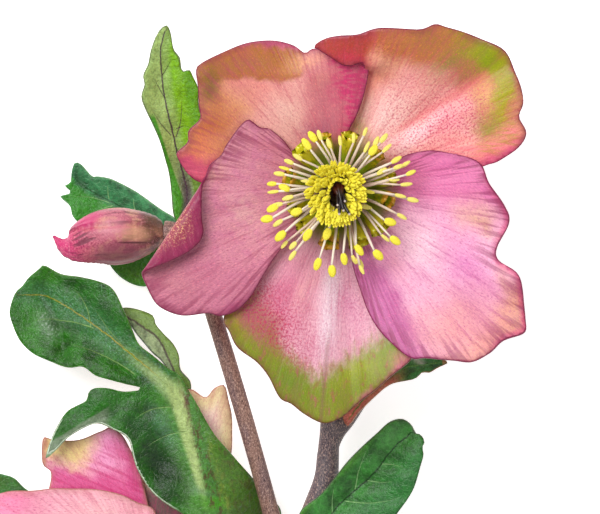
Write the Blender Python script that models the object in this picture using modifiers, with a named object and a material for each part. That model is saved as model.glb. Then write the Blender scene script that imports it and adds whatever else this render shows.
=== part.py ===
"""A cut flowering stem of hellebore, lying on its back: two open blooms, two buds and six leaves.

All shapes are worked out in millimetres in the plant's frame: x and y are measured from the axis of the
first bloom, +Y runs towards the tip of the stem, and z is the height above the surface it lies on.
"""

import math
import random

import bmesh
import bpy
import numpy as np
from mathutils import Matrix, Vector
from mathutils.geometry import delaunay_2d_cdt

MM = 0.001
FULL_TURN = 2 * math.pi

# The middle of the whole stem's box, which becomes the origin
MIDDLE_X = -19.7
MIDDLE_Y = -58.8

BLADE = 0.7  # thickness of a sepal or a leaf
LAYER = 1.3  # height of one sepal over the next where they overlap
BLOOM_1 = (0.0, 0.0, 21.0)  # x, y and the height of the lowest sepal's base
BLOOM_2 = (-38.0, -79.0, 6.5)
BOWL_REACH = 38.0  # radius at which the bowl of sepals has its full rise
BOWL_RISE = 7.5


def smooth(low, high, value):
    """0 below low, 1 above high, and an S-shaped step between."""
    t = min(1.0, max(0.0, (value - low) / (high - low)))
    return t * t * (3 - 2 * t)


def bump(distance, width):
    return math.exp(-((distance / width) ** 2))


def clear_scene():
    for obj in list(bpy.data.objects):
        bpy.data.objects.remove(obj, do_unlink=True)


def make_material(name, color, roughness):
    material = bpy.data.materials.new(name)
    material.use_nodes = True
    shader = material.node_tree.nodes["Principled BSDF"]
    shader.inputs["Base Color"].default_value = (*color, 1.0)
    shader.inputs["Roughness"].default_value = roughness
    shader.inputs["Metallic"].default_value = 0.0
    return material


clear_scene()
collection = bpy.data.collections.new("hellebore_stem")
bpy.context.scene.collection.children.link(collection)
holder = bpy.data.objects.new("hellebore", None)
holder.location = (-MIDDLE_X * MM, -MIDDLE_Y * MM, 0.0)
collection.objects.link(holder)

STEM = make_material("stem_skin", (0.20, 0.12, 0.13), 0.55)
SEPAL = make_material("sepal_rose", (0.68, 0.27, 0.34), 0.5)
LEAF = make_material("leaf_green", (0.08, 0.26, 0.05), 0.35)
NECTARY = make_material("nectary_green", (0.42, 0.45, 0.05), 0.45)
STAMEN = make_material("stamen_yellow", (0.85, 0.75, 0.20), 0.6)
PISTIL = make_material("pistil_red", (0.12, 0.02, 0.02), 0.5)
BUD = make_material("bud_rose", (0.36, 0.13, 0.17), 0.5)


def new_object(name, bm, material):
    """Makes the node of a bmesh that is in millimetres, and stands it in the plant's frame."""
    bmesh.ops.scale(bm, vec=(MM, MM, MM), verts=bm.verts)
    mesh = bpy.data.meshes.new(name)
    bm.to_mesh(mesh)
    bm.free()
    mesh.materials.append(material)
    obj = bpy.data.objects.new(name, mesh)
    obj.parent = holder
    collection.objects.link(obj)
    return obj


def evaluated_copy(obj):
    """Replaces an object, with its modifiers or its curve, by the plain mesh that it shows."""
    bpy.context.view_layer.update()
    graph = bpy.context.evaluated_depsgraph_get()
    mesh = bpy.data.meshes.new_from_object(obj.evaluated_get(graph))
    bm = bmesh.new()
    bm.from_mesh(mesh)
    bmesh.ops.remove_doubles(bm, verts=bm.verts, dist=1e-6)
    bmesh.ops.recalc_face_normals(bm, faces=bm.faces)
    bm.to_mesh(mesh)
    bm.free()
    name = obj.name
    bpy.data.objects.remove(obj, do_unlink=True)
    plain = bpy.data.objects.new(name, mesh)
    plain.parent = holder
    collection.objects.link(plain)
    return plain


def join_all(first, others, solver="EXACT"):
    """One Boolean union of an object with a collection of its repeats, which are then removed."""
    repeats = bpy.data.collections.new(first.name + "_repeats")
    bpy.context.scene.collection.children.link(repeats)
    for other in others:
        collection.objects.unlink(other)
        repeats.objects.link(other)
    union = first.modifiers.new("join", "BOOLEAN")
    union.operation = "UNION"
    union.solver = solver
    union.operand_type = "COLLECTION"
    union.collection = repeats
    joined = evaluated_copy(first)
    for other in list(repeats.objects):
        bpy.data.objects.remove(other, do_unlink=True)
    bpy.data.collections.remove(repeats)
    return joined


# Smooth curves through chosen points


def spline_at(a, b, c, d, t):
    """A point of the Catmull-Rom curve from b to c."""
    return 0.5 * (2 * b + (c - a) * t + (2 * a - 5 * b + 4 * c - d) * t**2 + (3 * b - a - 3 * c + d) * t**3)


def curve_through(points, closed, step=0.25):
    """Close-set points of the smooth curve that passes through the given ones."""
    points = [np.array(p, float) for p in points]
    last = len(points) if closed else len(points) - 1
    path = []
    for i in range(last):
        if closed:
            a, b, c, d = (points[(i + k) % len(points)] for k in (-1, 0, 1, 2))
        else:
            b, c = points[i], points[i + 1]
            a = points[i - 1] if i else 2 * b - c
            d = points[i + 2] if i + 2 < len(points) else 2 * c - b
        count = max(2, int(np.linalg.norm(c - b) / step))
        path += [spline_at(a, b, c, d, k / count) for k in range(count)]
    if not closed:
        path.append(points[-1])
    return np.array(path)


def thinned(path, spacing):
    """Points along a path, about as far apart as spacing(x, y) says. Both ends of the path are kept."""
    kept = [path[0]]
    for p in path[1:-1]:
        want = spacing(*p[:2])
        if np.linalg.norm(p - kept[-1]) >= want and np.linalg.norm(p - path[-1]) >= 0.6 * want:
            kept.append(p)
    kept.append(path[-1])
    return kept


# Thin blades: an outline, filled with points, bent into shape and thickened


def inside(ring, points):
    """Which points lie inside a closed outline, by counting the edges to their right."""
    x, y = points[:, 0:1], points[:, 1:2]
    x0, y0 = ring[:, 0], ring[:, 1]
    x1, y1 = np.roll(x0, -1), np.roll(y0, -1)
    crosses = (y0 > y) != (y1 > y)
    height = np.where(y1 == y0, 1.0, y1 - y0)
    return (crosses & (x < x0 + (y - y0) / height * (x1 - x0))).sum(axis=1) % 2 == 1


def filling(ring, fixed, spacing):
    """Points in rows inside an outline, closer together where spacing(x, y) asks for it."""
    low, high = ring.min(axis=0), ring.max(axis=0)
    steps = sorted({spacing(*p) for p in ring} | {spacing(*((low + high) / 2))})
    chosen = []
    for step in (steps[0], steps[-1]) if len(steps) > 1 else steps:
        rows = np.arange(low[1], high[1], step * 0.866)
        grid = [(x + 0.5 * step * (k % 2), y) for k, y in enumerate(rows) for x in np.arange(low[0], high[0], step)]
        chosen += [p for p in grid if abs(spacing(*p) - step) < 1e-6]
    points = np.array(chosen)
    points = points[inside(ring, points)]
    apart = np.linalg.norm(points[:, None] - fixed[None], axis=2).min(axis=1)
    want = np.array([spacing(*p) for p in points])
    return points[apart > 0.62 * want]


def sheet(outline, creases, spacing):
    """Triangles that fill an outline, with edges along its creases: points in the plane, and faces."""
    ring = np.array(thinned(curve_through(outline, True), spacing))
    if np.linalg.norm(ring[0] - ring[-1]) < 0.5 * spacing(*ring[0]):
        ring = ring[:-1]
    lines = [np.array(thinned(curve_through(crease, False), spacing)) for crease in creases]
    lines = [line[inside(ring, line)] for line in lines]
    edges = [(i, (i + 1) % len(ring)) for i in range(len(ring))]
    points = [tuple(p) for p in ring]
    for line in lines:
        edges += [(len(points) + i, len(points) + i + 1) for i in range(len(line) - 1)]
        points += [tuple(p) for p in line]
    points += [tuple(p) for p in filling(ring, np.array(points), spacing)]
    flat, _, faces, _, _, _ = delaunay_2d_cdt([Vector(p) for p in points], edges, [], 1, 1e-4)
    return flat, faces


def blade(name, outline, creases, place, material, spacing):
    """A thin curved blade. place(x, y) gives where a point of the flat sheet goes."""
    flat, faces = sheet(outline, creases, spacing)
    bm = bmesh.new()
    verts = [bm.verts.new(place(p.x, p.y)) for p in flat]
    for face in faces:
        bm.faces.new([verts[i] for i in face])
    bmesh.ops.recalc_face_normals(bm, faces=bm.faces)
    if sum(face.normal.z for face in bm.faces) < 0:
        bmesh.ops.reverse_faces(bm, faces=bm.faces)
    obj = new_object(name, bm, material)
    solidify = obj.modifiers.new("thickness", "SOLIDIFY")
    solidify.thickness = BLADE * MM
    solidify.offset = 0.0
    return obj


def even(step):
    """The same spacing all over."""
    return lambda x, y: step


def finer_near(step, fine_step, cx, cy, radius):
    return lambda x, y: fine_step if math.hypot(x - cx, y - cy) < radius else step


# Stalks, stamens and other round pieces


def tube(name, points, bevel_resolution, material, step=None):
    """A stalk along its points or a smooth path through them. Each is x, y, z and the radius there."""
    kept = thinned(curve_through(points, False, 0.5), even(step)) if step else points
    data = bpy.data.curves.new(name, "CURVE")
    data.dimensions = "3D"
    data.bevel_depth = MM
    data.bevel_resolution = bevel_resolution
    data.use_fill_caps = True
    spline = data.splines.new("POLY")
    spline.points.add(len(kept) - 1)
    for point, (x, y, z, radius) in zip(spline.points, kept):
        point.co = (x * MM, y * MM, z * MM, 1.0)
        point.radius = radius
    data.materials.append(material)
    obj = bpy.data.objects.new(name, data)
    collection.objects.link(obj)
    return evaluated_copy(obj)


def cone(name, start, end, radius_start, radius_end, sides, material):
    """A straight taper between two points."""
    start, end = Vector(start), Vector(end)
    bm = bmesh.new()
    bmesh.ops.create_cone(
        bm, cap_ends=True, segments=sides, radius1=radius_start, radius2=radius_end, depth=(end - start).length
    )
    turn = (end - start).to_track_quat("Z", "Y").to_matrix().to_4x4()
    bmesh.ops.transform(bm, matrix=Matrix.Translation((start + end) / 2) @ turn, verts=bm.verts)
    return new_object(name, bm, material)


def grain(name, centre, along, length, width, material):
    """A small egg-shaped body, such as an anther, that points along a direction."""
    bm = bmesh.new()
    bmesh.ops.create_icosphere(bm, subdivisions=1, radius=1.0)
    turn = Vector(along).to_track_quat("Z", "Y").to_matrix().to_4x4()
    size = Matrix.Diagonal((width / 2, width / 2, length / 2, 1.0))
    bmesh.ops.transform(bm, matrix=Matrix.Translation(centre) @ turn @ size, verts=bm.verts)
    return new_object(name, bm, material)


def ring_tube(name, centre, radius, thickness, material):
    """A low ring with a round section."""
    data = bpy.data.curves.new(name, "CURVE")
    data.dimensions = "3D"
    data.bevel_depth = thickness * MM / 2
    data.bevel_resolution = 1
    spline = data.splines.new("POLY")
    count = 16
    spline.points.add(count - 1)
    spline.use_cyclic_u = True
    for k, point in enumerate(spline.points):
        angle = FULL_TURN * k / count
        x, y = centre[0] + radius * math.cos(angle), centre[1] + radius * math.sin(angle)
        point.co = (x * MM, y * MM, centre[2] * MM, 1.0)
    data.materials.append(material)
    obj = bpy.data.objects.new(name, data)
    collection.objects.link(obj)
    return evaluated_copy(obj)


# The stem with its stalks, each a list of x, y, z and radius

MAIN_STEM = [
    (-7.6, -150.0, 3.75, 3.75),
    (-9.6, -128.0, 3.75, 3.7),
    (-10.8, -108.0, 3.8, 3.75),
    (-10.6, -92.0, 4.0, 3.95),
    (-10.0, -82.0, 4.5, 4.3),
    (-9.4, -76.0, 4.9, 3.3),
]
LEFT_STALK = [
    (-10.0, -84.0, 4.2, 2.6),
    (-11.4, -75.0, 7.4, 2.1),
    (-14.0, -65.0, 11.2, 1.65),
    (-16.4, -56.0, 13.4, 1.55),
    (-20.4, -41.6, 14.8, 1.55),
    (-25.4, -24.8, 15.2, 1.5),
    (-29.4, -12.6, 14.6, 1.6),
    (-32.2, -8.8, 13.9, 1.9),
    (-35.4, -8.2, 13.5, 2.3),
]
RIGHT_STALK = [
    (-10.0, -84.0, 4.4, 3.4),
    (-8.0, -72.0, 5.6, 2.7),
    (-6.0, -64.8, 6.4, 2.5),
    (-3.4, -58.4, 7.0, 2.4),
    (-2.4, -54.0, 7.4, 2.3),
    (-2.0, -46.8, 8.2, 1.95),
    (-1.4, -30.0, 10.0, 1.8),
    (-0.5, -13.0, 12.0, 1.8),
    (-0.1, -5.4, 13.8, 1.8),
    (0.0, -1.6, 16.2, 1.9),
]
BUD_2_STALK = [
    (-2.2, -52.0, 7.4, 1.8),
    (0.4, -48.8, 7.8, 1.8),
    (3.2, -45.2, 8.2, 1.7),
    (9.0, -34.0, 8.0, 1.2),
    (14.0, -18.0, 7.2, 1.1),
    (16.6, -4.0, 6.2, 1.2),
    (17.5, 5.0, 5.5, 1.5),
    (18.4, 7.6, 5.3, 1.7),
]
BLOOM_2_STALK = [
    (-10.0, -86.0, 4.2, 2.4),
    (-18.0, -84.0, 3.2, 1.7),
    (-28.0, -81.0, 2.6, 1.6),
    (-38.0, -79.0, 2.6, 1.6),
]


def receptacle(name, bloom, stalk_radius, depth):
    """The widened top of a flower stalk, just under the lowest sepal."""
    x, y, z = bloom
    top = z - 0.5 * BLADE - 0.4
    return cone(name, (x, y, top - depth), (x, y, top), stalk_radius, 3.8, 12, STEM)


def build_stem():
    stem = tube("stem", MAIN_STEM, 4, STEM, 6.0)
    stalks = [
        tube("left_stalk", LEFT_STALK, 2, STEM, 4.5),
        tube("right_stalk", RIGHT_STALK, 3, STEM, 4.5),
        tube("bud_2_stalk", BUD_2_STALK, 1, STEM, 5.5),
        tube("bloom_2_stalk", BLOOM_2_STALK, 2, STEM, 5.0),
        receptacle("receptacle_1", BLOOM_1, 1.8, 4.6),
        receptacle("receptacle_2", BLOOM_2, 2.2, 4.2),
    ]
    join_all(stem, stalks)


# Sepals. Outlines are measured from the axis of their bloom, starting at the base


def bowl(x, y, reach=BOWL_REACH, rise=BOWL_RISE):
    """How far all the sepals of a bloom rise together, with the slow waves that they share."""
    r = math.hypot(x, y)
    wave = 0.8 * smooth(0.45, 1.0, r / reach) * math.sin(5 * math.atan2(y, x) + 0.8)
    return rise * (r / reach) ** 1.5 + wave


TOP_LEFT = [
    (-0.2, 3.4), (1.0, 7.5), (1.8, 11.6), (3.2, 14.6), (4.6, 18.4), (5.6, 22.8), (5.8, 25.8), (4.6, 27.2),
    (2.0, 28.0), (-2.0, 28.4), (-5.4, 28.2), (-7.0, 27.4), (-9.4, 29.0), (-13.6, 29.8), (-18.6, 29.4),
    (-23.6, 27.4), (-28.0, 25.0), (-28.8, 23.6), (-28.4, 20.4), (-28.2, 16.6), (-28.0, 14.2), (-30.2, 11.8),
    (-30.4, 9.6), (-32.6, 7.6), (-32.4, 6.2), (-30.0, 2.8), (-27.4, 1.4), (-22.0, 0.8), (-15.0, 0.6),
    (-8.0, 0.8), (-3.4, 0.8),
]
TOP_RIGHT = [
    (0.5, 3.3), (0.0, 8.0), (0.4, 12.0), (1.4, 15.4), (3.0, 19.0), (4.2, 22.2), (6.8, 25.0), (5.4, 26.0),
    (2.4, 24.9), (0.6, 25.0), (-1.2, 26.0), (-4.6, 28.2), (-5.2, 28.8), (-3.0, 30.2), (-0.2, 30.8),
    (3.6, 31.0), (8.0, 32.4), (15.6, 32.0), (19.0, 33.2), (21.6, 32.4), (27.8, 30.4), (32.8, 27.8),
    (35.0, 23.6), (36.2, 20.4), (36.6, 17.2), (35.8, 14.6), (37.2, 11.4), (35.6, 8.4), (31.8, 5.8),
    (29.2, 5.0), (24.0, 3.0), (16.0, 1.6), (8.0, 0.8), (3.4, 0.4),
]
RIGHT = [
    (3.4, -0.2), (6.5, 2.6), (12.2, 6.6), (15.8, 7.6), (19.6, 7.8), (25.0, 6.8), (28.2, 5.0), (29.8, 1.2),
    (33.0, -3.2), (33.8, -6.4), (31.4, -11.2), (31.6, -13.8), (35.2, -16.4), (36.4, -20.2), (37.0, -25.6),
    (36.8, -28.6), (32.4, -30.0), (29.8, -32.6), (26.4, -34.4), (22.4, -34.0), (17.0, -33.6), (14.2, -33.6),
    (10.6, -31.0), (6.2, -25.6), (4.0, -19.8), (2.4, -14.4), (1.8, -8.0), (1.6, -3.0),
]
BOTTOM = [
    (0.9, -3.3), (1.8, -4.6), (5.0, -12.0), (9.5, -22.0), (13.0, -29.5), (14.2, -33.6), (8.8, -38.4),
    (3.6, -42.8), (-0.2, -45.6), (-3.4, -46.6), (-7.2, -44.8), (-9.8, -42.8), (-12.0, -41.6), (-14.2, -37.4),
    (-16.8, -34.2), (-20.6, -31.4), (-22.2, -28.2), (-23.2, -25.6), (-20.0, -20.0), (-12.0, -12.5),
    (-5.0, -6.4), (-1.6, -3.4),
]
LEFT = [
    (-3.2, 0.2), (-6.0, 4.4), (-9.4, 7.4), (-11.2, 10.0), (-14.0, 12.2), (-15.8, 12.4), (-17.4, 13.6),
    (-18.6, 14.0), (-20.6, 12.0), (-22.8, 9.0), (-23.8, 6.8), (-26.2, 4.8), (-27.4, 2.6), (-31.4, 1.0),
    (-35.3, -0.6), (-38.4, -1.7), (-40.1, -4.3), (-40.6, -8.5), (-40.6, -12.4), (-40.2, -15.4),
    (-38.2, -20.2), (-36.0, -23.4), (-31.8, -25.0), (-26.4, -24.6), (-23.8, -25.2), (-20.6, -24.2),
    (-18.0, -21.4), (-15.2, -17.0), (-12.0, -12.2), (-7.0, -6.6), (-2.6, -2.4),
]

# The left sepal's outer margin rolls over towards the middle, about a line that runs down and left
ROLL_START = (-27.2, 1.6)
ROLL_ALONG = (-0.557, -0.831)
ROLL_OUT = (-0.831, 0.557)
ROLL_LENGTH = 21.0
ROLL_RADIUS = 1.5


def rolled(x, y):
    """Where a point of the left sepal goes: (x, y, extra height), with the part past the line turned back."""
    dx, dy = x - ROLL_START[0], y - ROLL_START[1]
    along = dx * ROLL_ALONG[0] + dy * ROLL_ALONG[1]
    past = dx * ROLL_OUT[0] + dy * ROLL_OUT[1] + ROLL_RADIUS
    if past <= 0:
        return x, y, 0.0
    angle = min(past / ROLL_RADIUS, math.pi)
    out = ROLL_RADIUS * math.sin(angle) - max(0.0, past - math.pi * ROLL_RADIUS)
    up = ROLL_RADIUS * (1 - math.cos(angle))
    share = smooth(-5.0, 2.0, along) * (1 - smooth(ROLL_LENGTH, ROLL_LENGTH + 4.0, along))
    moved = share * (out - past)
    return x + moved * ROLL_OUT[0], y + moved * ROLL_OUT[1], share * up


# Where the tip of the top left sepal passes through a notch in the top right one
NOTCH = (6.2, 24.1)


def top_left_rise(x, y):
    """The band along the top bends back, the left margin too, and the right edge lifts over its neighbour."""
    back = 0.34 * max(0.0, y - 22.8) ** 1.2 * smooth(2.0, -8.0, x) if x < 2 else 0.0
    return 0.06 * max(0.0, x + 8) - back - 0.22 * max(0.0, -26.5 - x)


def top_right_rise(x, y):
    """The upper left lobe climbs over the top left sepal, and a shallow fold runs out to the right."""
    dx, dy = x - NOTCH[0], y - NOTCH[1]
    lobe = 3.5 * smooth(-1.2, 1.0, math.atan2(dy, dx)) * smooth(22.0, 7.0, math.hypot(dx, dy))
    fold = -0.9 * bump(x * 0.5 - y * 0.866 - 3.0, 3.0) * smooth(8.0, 20.0, x)
    return lobe + fold - 0.10 * max(0.0, x - 31.0) ** 1.3


def right_rise(x, y):
    """The outer margin goes up and down in waves."""
    return 0.9 * smooth(20.0, 35.0, x) * math.sin(FULL_TURN * (y + 4.0) / 17.0)


def bottom_rise(x, y):
    """A keel down the middle, and a tip that bends back."""
    middle = x + 0.073 * y
    return -0.9 * bump(middle, 2.4) * smooth(-6.0, -16.0, y) - 0.011 * max(0.0, -28.0 - y) ** 2


def left_rise(x, y):
    """Hollow along the middle, with the lower margin bent back."""
    return -0.5 * bump(y + 8.0, 6.0) * smooth(-10.0, -22.0, x) - 0.07 * max(0.0, -18.0 - y) ** 1.3


def build_sepal(name, bloom, level, outline, rise, spacing, creases=(), roll=False, reach=BOWL_REACH,
                height=BOWL_RISE):
    bx, by, bz = bloom

    def place(x, y):
        up = 0.0
        if roll:
            x, y, up = rolled(x, y)
        z = bz + level * LAYER + bowl(x, y, reach, height) + rise(x, y) + up
        return (bx + x, by + y, z)

    blade(name, outline, creases, place, SEPAL, spacing)


def roll_lines():
    """Rows of points along the roll of the left sepal, so that it bends evenly."""
    lines = []
    for turn in (0.0, 0.33, 0.66, 1.0):
        out = turn * math.pi * ROLL_RADIUS - ROLL_RADIUS
        ends = [
            (
                ROLL_START[0] + t * ROLL_ALONG[0] + out * ROLL_OUT[0],
                ROLL_START[1] + t * ROLL_ALONG[1] + out * ROLL_OUT[1],
            )
            for t in (0.0, 7.0, 14.0, 21.0)
        ]
        lines.append(ends)
    return lines


def build_bloom_1_sepals():
    step = even(3.2)
    build_sepal("bloom_1_sepal_bottom", BLOOM_1, 0, BOTTOM, bottom_rise, step,
                creases=[[(0.6, -8.0), (1.5, -20.0), (3.2, -44.0)]])
    notch = finer_near(3.2, 1.6, *NOTCH, 5.5)
    build_sepal("bloom_1_sepal_top_right", BLOOM_1, 0, TOP_RIGHT, top_right_rise, notch)
    build_sepal("bloom_1_sepal_top_left", BLOOM_1, 1, TOP_LEFT, top_left_rise, notch,
                creases=[[(-25.0, 22.8), (-10.0, 22.8)]])
    build_sepal("bloom_1_sepal_right", BLOOM_1, 1, RIGHT, right_rise, step)
    build_sepal("bloom_1_sepal_left", BLOOM_1, 2, LEFT, left_rise, step, creases=roll_lines(), roll=True)


# Sepals of the second bloom, also measured from their own axis

SECOND_UPPER = [
    (2.0, 3.0), (6.5, 7.0), (12.0, 13.5), (15.0, 19.5), (16.2, 26.4), (16.4, 32.0), (15.8, 36.4), (14.9, 39.8),
    (12.8, 39.2), (11.0, 37.4), (8.0, 39.0), (4.6, 38.0), (0.6, 33.0), (-2.6, 24.0), (-3.4, 14.0), (-1.6, 4.0),
]
SECOND_UPPER_LEFT = [
    (-0.6, 3.4), (0.0, 12.0), (-2.0, 22.0), (-5.0, 28.6), (-7.8, 31.4), (-10.0, 30.6), (-14.2, 29.0),
    (-19.2, 28.8), (-21.6, 29.2), (-21.6, 24.2), (-20.0, 22.4), (-20.6, 18.8), (-23.0, 13.0), (-18.0, 8.0),
    (-8.0, 3.4), (-3.2, 1.4),
]
SECOND_LEFT = [
    (-3.4, 1.6), (-1.4, 3.8), (0.6, 9.0), (0.8, 14.4), (-2.8, 16.4), (-7.2, 18.2), (-15.0, 19.2), (-22.8, 18.8),
    (-30.0, 18.2), (-34.4, 15.4), (-36.8, 10.0), (-37.2, 4.0), (-35.0, -2.0), (-36.2, -7.0), (-32.0, -13.0),
    (-25.0, -16.6), (-16.0, -15.0), (-8.0, -8.4), (-3.6, -2.4),
]
SECOND_LOWER = [
    (-3.4, -2.6), (-9.0, -8.0), (-14.4, -16.0), (-16.8, -24.0), (-15.2, -30.0), (-9.4, -34.2), (-3.0, -37.2),
    (3.6, -38.6), (9.4, -36.6), (14.6, -33.0), (18.8, -27.4), (19.6, -21.0), (15.8, -13.0), (9.0, -6.6),
    (3.0, -3.2), (0.0, -3.8),
]
SECOND_RIGHT = [
    (2.8, -2.2), (9.0, -8.4), (16.0, -14.0), (23.0, -17.4), (28.6, -16.0), (32.6, -11.6), (33.6, -5.4),
    (32.2, -0.6), (29.0, 3.6), (23.6, 4.8), (16.0, 5.0), (8.0, 4.0), (3.2, 1.4),
]


def build_bloom_2_sepals():
    reach, rise = 36.0, 5.5

    def plain(x, y):
        return 0.0

    def tip_back(x, y):
        return -0.12 * max(0.0, math.hypot(x, y) - 30.0) ** 1.3

    parts = [
        ("bloom_2_sepal_lower", 0, SECOND_LOWER, tip_back),
        ("bloom_2_sepal_upper", 0, SECOND_UPPER, plain),
        ("bloom_2_sepal_upper_left", 1, SECOND_UPPER_LEFT, plain),
        ("bloom_2_sepal_right", 1, SECOND_RIGHT, plain),
        ("bloom_2_sepal_left", 2, SECOND_LEFT, tip_back),
    ]
    for name, level, outline, bend in parts:
        build_sepal(name, BLOOM_2, level, outline, bend, even(4.0), reach=reach, height=rise)


# The middle of a bloom


def polar(bloom, radius, angle, up):
    x, y, z = bloom
    return (x + radius * math.cos(angle), y + radius * math.sin(angle), z + up)


def build_nectaries(name, bloom, count):
    """Short horns that lean out all round, rooted in a low ring above the sepals."""
    x, y, z = bloom
    ring = ring_tube(name, (x, y, z + 4.3), 5.1, 1.3, NECTARY)
    horns = []
    for k in range(count):
        angle = FULL_TURN * (k + 0.5) / count
        horns.append(
            cone("horn", polar(bloom, 4.7, angle, 4.4), polar(bloom, 11.4, angle, 6.6), 0.7, 1.8, 6, NECTARY)
        )
    join_all(ring, horns)


def build_stamens(name, bloom, outer, inner, seed):
    """A dome on a short stalk, filaments that fan out from it, and a ring of anthers round the styles."""
    draw = random.Random(seed)
    x, y, z = bloom
    dome = cone(name, (x, y, z + 3.7), (x, y, z + 6.0), 3.8, 3.2, 12, STAMEN)
    pieces = [cone("neck", (x, y, z - 0.2), (x, y, z + 4.2), 1.9, 2.2, 8, STAMEN)]
    for k in range(outer):
        angle = FULL_TURN * (k + draw.uniform(-0.3, 0.3)) / outer
        reach = 13.2 - 1.5 * math.sin(angle) + draw.uniform(-1.6, 1.4)
        top = 9.4 + draw.uniform(-0.5, 1.6)
        points = [
            (*polar(bloom, 2.6, angle, 5.0), 0.42),
            (*polar(bloom, 6.4, angle, 7.7 + 0.2 * (top - 9.4)), 0.36),
            (*polar(bloom, reach, angle, top), 0.32),
        ]
        pieces.append(tube("filament", points, 0, STAMEN))
        tip = Vector(points[2][:3])
        out = tip - Vector(points[1][:3])
        pieces.append(grain("anther", tip + 0.8 * out.normalized(), out, draw.uniform(2.3, 3.1), 1.4, STAMEN))
    centre = (x - 0.4, y - 1.0, z)
    pieces.append(ring_tube("cluster", (centre[0], centre[1], z + 12.4), 4.3, 1.9, STAMEN))
    for k in range(7):
        angle = FULL_TURN * (k + 0.5) / 7
        pieces.append(cone("post", polar(bloom, 2.9, angle, 5.2), polar(centre, 4.2, angle, 12.4), 0.5, 0.5, 4, STAMEN))
    for k in range(inner):
        angle = FULL_TURN * (k + draw.uniform(-0.2, 0.2)) / inner
        row = k % 3
        radius = (3.3, 4.4, 5.4)[row]
        up = (12.9, 13.7, 12.8)[row] + draw.uniform(-0.2, 0.3)
        lean = (math.cos(angle) * (row - 1), math.sin(angle) * (row - 1), 1.2)
        pieces.append(grain("anther", polar(centre, radius, angle, up), lean, 2.1, 1.3, STAMEN))
    join_all(dome, pieces)


def build_pistils(name, bloom):
    """Five dark styles on a common foot, which lean down through the ring of anthers."""
    x, y, z = bloom
    foot = cone(name, (x - 0.2, y - 0.5, z + 6.35), (x - 0.2, y - 0.6, z + 8.6), 1.4, 1.1, 6, PISTIL)
    tips = ((-0.9, -2.4), (0.3, -2.9), (1.3, -2.7), (0.0, -1.5), (0.9, -1.3))
    styles = []
    for k, (tx, ty) in enumerate(tips):
        angle = FULL_TURN * (k + 0.5) / 5
        points = [
            (x - 0.2 + 0.7 * math.cos(angle), y - 0.6 + 0.7 * math.sin(angle), z + 7.6, 0.62),
            (x - 0.3 + 0.7 * math.cos(angle), y - 0.9 + 0.7 * math.sin(angle), z + 12.0, 0.5),
            (x + tx, y + ty, z + 15.6, 0.34),
        ]
        styles.append(tube("style", points, 0, PISTIL))
    join_all(foot, styles)


# Buds


def build_bud(name, path, radius, sides, rings, turn):
    """A closed bud along a curved axis: three sepals wrapped round each other, drawn out to a tip."""
    axis = curve_through(path, False, 0.25)
    bm = bmesh.new()
    bmesh.ops.create_uvsphere(bm, u_segments=sides, v_segments=rings, radius=1.0)
    for vert in bm.verts:
        t = math.acos(max(-1.0, min(1.0, vert.co.z))) / math.pi
        angle = math.atan2(vert.co.y, vert.co.x)
        here = min(int(t * (len(axis) - 1)), len(axis) - 2)
        centre = Vector(axis[here])
        forward = (Vector(axis[here + 1]) - centre).normalized()
        across = forward.cross(Vector((0, 0, 1))).normalized()
        swell = math.sin(math.pi * t**0.8) ** 0.75
        wrap = (3 * (angle + turn) / FULL_TURN + 0.5 * t) % 1.0
        size = radius * swell * (1 + 0.07 * (wrap - 0.5))
        lift = across.cross(forward)
        vert.co = centre + size * (math.cos(angle) * across + math.sin(angle) * lift)
    if bm.calc_volume(signed=True) < 0:
        bmesh.ops.reverse_faces(bm, faces=bm.faces)
    new_object(name, bm, BUD)


BUD_1_AXIS = [(-36.2, -8.2, 13.6), (-42.0, -8.8, 13.6), (-48.0, -9.4, 13.7), (-54.4, -10.8, 13.4), (-57.4, -9.8, 13.2)]
BUD_2_AXIS = [(18.4, 8.4, 5.3), (22.4, 15.0, 5.3), (27.4, 22.4, 5.3), (31.8, 29.0, 5.6)]


# Leaves

LARGE_LEAF = [
    (-13.4, -72.4), (-12.0, -67.6), (-12.2, -63.8), (-15.2, -60.8), (-18.8, -56.4), (-22.2, -52.4), (-25.2, -49.0),
    (-28.0, -44.2), (-30.2, -40.4), (-32.4, -37.0), (-34.2, -36.0), (-37.0, -33.6), (-40.2, -31.0),
    (-41.6, -28.2), (-43.4, -24.2), (-45.6, -20.0), (-48.0, -18.4), (-52.0, -17.4), (-56.2, -16.8),
    (-59.4, -15.2), (-60.6, -16.0), (-62.6, -17.6), (-63.8, -19.2), (-65.4, -20.8), (-66.4, -24.2),
    (-65.8, -26.8), (-64.4, -30.0), (-61.6, -32.8), (-57.6, -34.6), (-54.4, -35.6), (-51.6, -35.4),
    (-49.0, -37.2), (-46.6, -38.0), (-43.0, -38.9), (-39.6, -39.8), (-43.0, -40.5), (-46.6, -39.7),
    (-49.4, -39.8), (-50.6, -41.0), (-50.9, -42.2), (-54.4, -44.2), (-56.6, -47.2), (-58.0, -50.4),
    (-59.0, -53.8), (-57.0, -52.2), (-54.4, -49.6), (-50.8, -47.4), (-48.4, -46.8), (-46.2, -47.6),
    (-43.4, -49.0), (-42.2, -50.4), (-41.6, -52.8), (-40.6, -56.0), (-38.4, -59.6), (-35.8, -62.2),
    (-32.6, -64.2), (-28.4, -66.4), (-22.0, -69.0), (-15.6, -75.6), (-13.8, -75.2),
]
LARGE_MIDRIB = [(-14.6, -72.0), (-21.0, -64.0), (-26.0, -58.0), (-29.4, -51.0), (-32.0, -43.8), (-36.0, -38.0),
                (-43.0, -32.0), (-50.0, -26.6), (-58.0, -21.6), (-63.0, -21.0)]
LARGE_SIDE_RIB = [(-33.4, -42.0), (-40.0, -43.0), (-47.0, -43.6), (-53.0, -46.4), (-57.6, -51.4)]
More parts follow.
